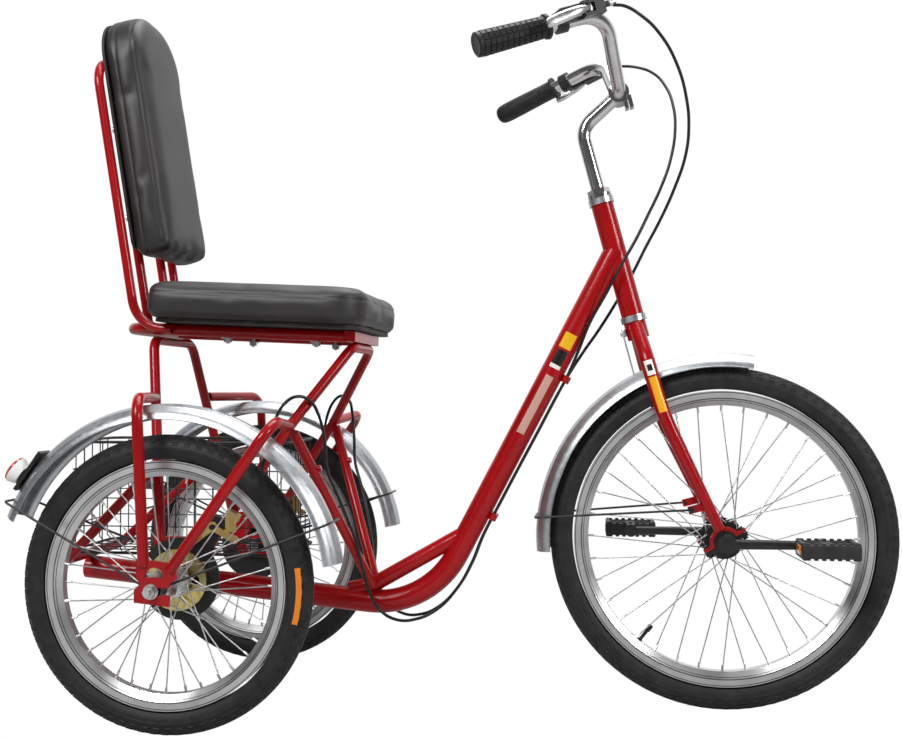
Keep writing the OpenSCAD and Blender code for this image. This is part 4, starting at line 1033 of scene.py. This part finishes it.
# ---------------------------------------------------------------- Brake levers
# Each lever is a cast alloy blade that widens from its pivot and ends in a
# rounded tip; a silver barrel adjuster takes the cable at the bracket's nose.
lever_alloy = zinc("lever_alloy", 0.62)
blade_line = [((0.172, -0.030, 0.004), 0.0050, 0.0058), ((0.163, -0.036, 0.0035), 0.0046, 0.0056),
              ((0.153, -0.0415, 0.0025), 0.0040, 0.0064), ((0.143, -0.0435, 0.001), 0.0034, 0.0074),
              ((0.130, -0.0435, -0.0005), 0.0030, 0.0080), ((0.117, -0.0428, -0.002), 0.0028, 0.0082),
              ((0.106, -0.0421, -0.0035), 0.0030, 0.0080), ((0.098, -0.0417, -0.0045), 0.0038, 0.0072),
              ((0.094, -0.0415, -0.005), 0.0030, 0.0054)]
for side, place in (("right", right_hand), ("left", left_hand)):
    bpy.ops.object.select_all(action="DESELECT")
    bpy.ops.mesh.primitive_circle_add(vertices=12, radius=1, fill_type="NGON", rotation=(0, radians(90), 0))
    blade = bpy.context.object
    bpy.ops.object.transform_apply(location=False, rotation=True, scale=False)
    first = Vector(blade_line[0][0])
    for corner in blade.data.vertices:
        corner.co = first + Vector((0, corner.co.y * blade_line[0][1], corner.co.z * blade_line[0][2]))
    bpy.ops.object.mode_set(mode="EDIT")
    bpy.ops.mesh.select_all(action="SELECT")
    for (here, thin_a, tall_a), (there, thin_b, tall_b) in zip(blade_line, blade_line[1:]):
        bpy.ops.mesh.extrude_region_move(TRANSFORM_OT_translate={"value": Vector(there) - Vector(here)})
        bpy.ops.transform.resize(value=(1, thin_b / thin_a, tall_b / tall_a), center_override=there)
    bpy.ops.mesh.select_all(action="SELECT")
    bpy.ops.mesh.normals_make_consistent(inside=False)
    bpy.ops.object.mode_set(mode="OBJECT")
    knob = turned("pivot", [(0.0050, -0.006), (0.0054, -0.0055), (0.0054, 0.0055), (0.0050, 0.006)], 20)
    knob.data.transform(Matrix.Translation((0.172, -0.030, 0.004)))
    lever = joined([blade, knob], f"lever_{side}_blade")
    settle(lever, place, 45)
    lever.data.materials.clear()
    lever.data.materials.append(lever_alloy.material)
    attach(lever, f"lever_{side}_body")
    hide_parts(f"brake_lever_{side}")

    barrel = turned("barrel", [(0.0026, 0), (0.0040, 0.0003), (0.0040, 0.004), (0.0055, 0.0045),
                               (0.0055, 0.0105), (0.0040, 0.011), (0.0034, 0.016)], 20)
    settle(barrel, place @ Matrix.Translation((0.199, -0.030, 0.004)) @ lay_down, 35)
    barrel.name = barrel.data.name = f"barrel_{side}"
    barrel.data.materials.append(lever_alloy.material)
    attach(barrel, "steering")


# ---------------------------------------------------------------- Brake cables
# Two black plastic-covered cables run from the levers in a wide arc round the
# head tube, down the main tube's guides and back to the brakes.
right_lever = [(652, -163, 1076), (668, -160, 1075), (692, -150, 1064), (722, -126, 1042), (750, -96, 1002),
               (766, -68, 956), (771, -45, 920), (768, -20, 880), (751, 6, 829), (730, 22, 783), (706, 30, 738),
               (685, 31, 696), (656, 27, 645), (629, 17, 602), (604, 9, 566), (578, 6, 525), (560, 6, 492),
               (530, 6, 435), (500, 6, 379), (470, 6, 322), (442, 6, 268), (424, 8, 224)]
left_lever = [(652, 163, 1076), (672, 162, 1077), (700, 156, 1072), (726, 142, 1057), (746, 118, 1026),
              (756, 92, 988), (758, 68, 945), (748, 36, 884), (730, 6, 832), (709, -18, 786), (689, -30, 745),
              (668, -32, 708), (642, -28, 660), (616, -18, 614), (598, -10, 570), (578, -6, 525), (560, -6, 492),
              (530, -6, 435), (500, -6, 379), (470, -6, 322), (442, -6, 268), (424, -8, 224)]
rearward = [(398, -11, 180), (366, -14, 148), (334, -20, 134), (304, -28, 134), (278, -34, 150), (262, -42, 180),
            (252, -48, 220), (244, -60, 262), (232, -78, 305), (219, -93, 345), (207, -104, 380), (204, -109, 425),
            (198, -122, 465), (187, -140, 490), (171, -153, 496), (155, -163, 486), (142, -169, 462),
            (134, -176, 430), (126, -184, 390), (112, -190, 358), (99, -194, 336)]
casing = black_enamel("cable_casing", 0.008, 0.3)
right_rearward = [(x, -y, z) for x, y, z in rearward]
for side, route in (("right", right_lever + right_rearward), ("left", left_lever + rearward)):
    places = [Vector((x / 1000 + axle_x, y / 1000, z / 1000)) for x, y, z in route]
    cable = wire(f"cable_{side}_casing", [places], 0.0025, smooth=True, fine=3)
    cable.data.materials.clear()
    cable.data.materials.append(casing.material)
    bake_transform(cable)
    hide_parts("cable_" + side)
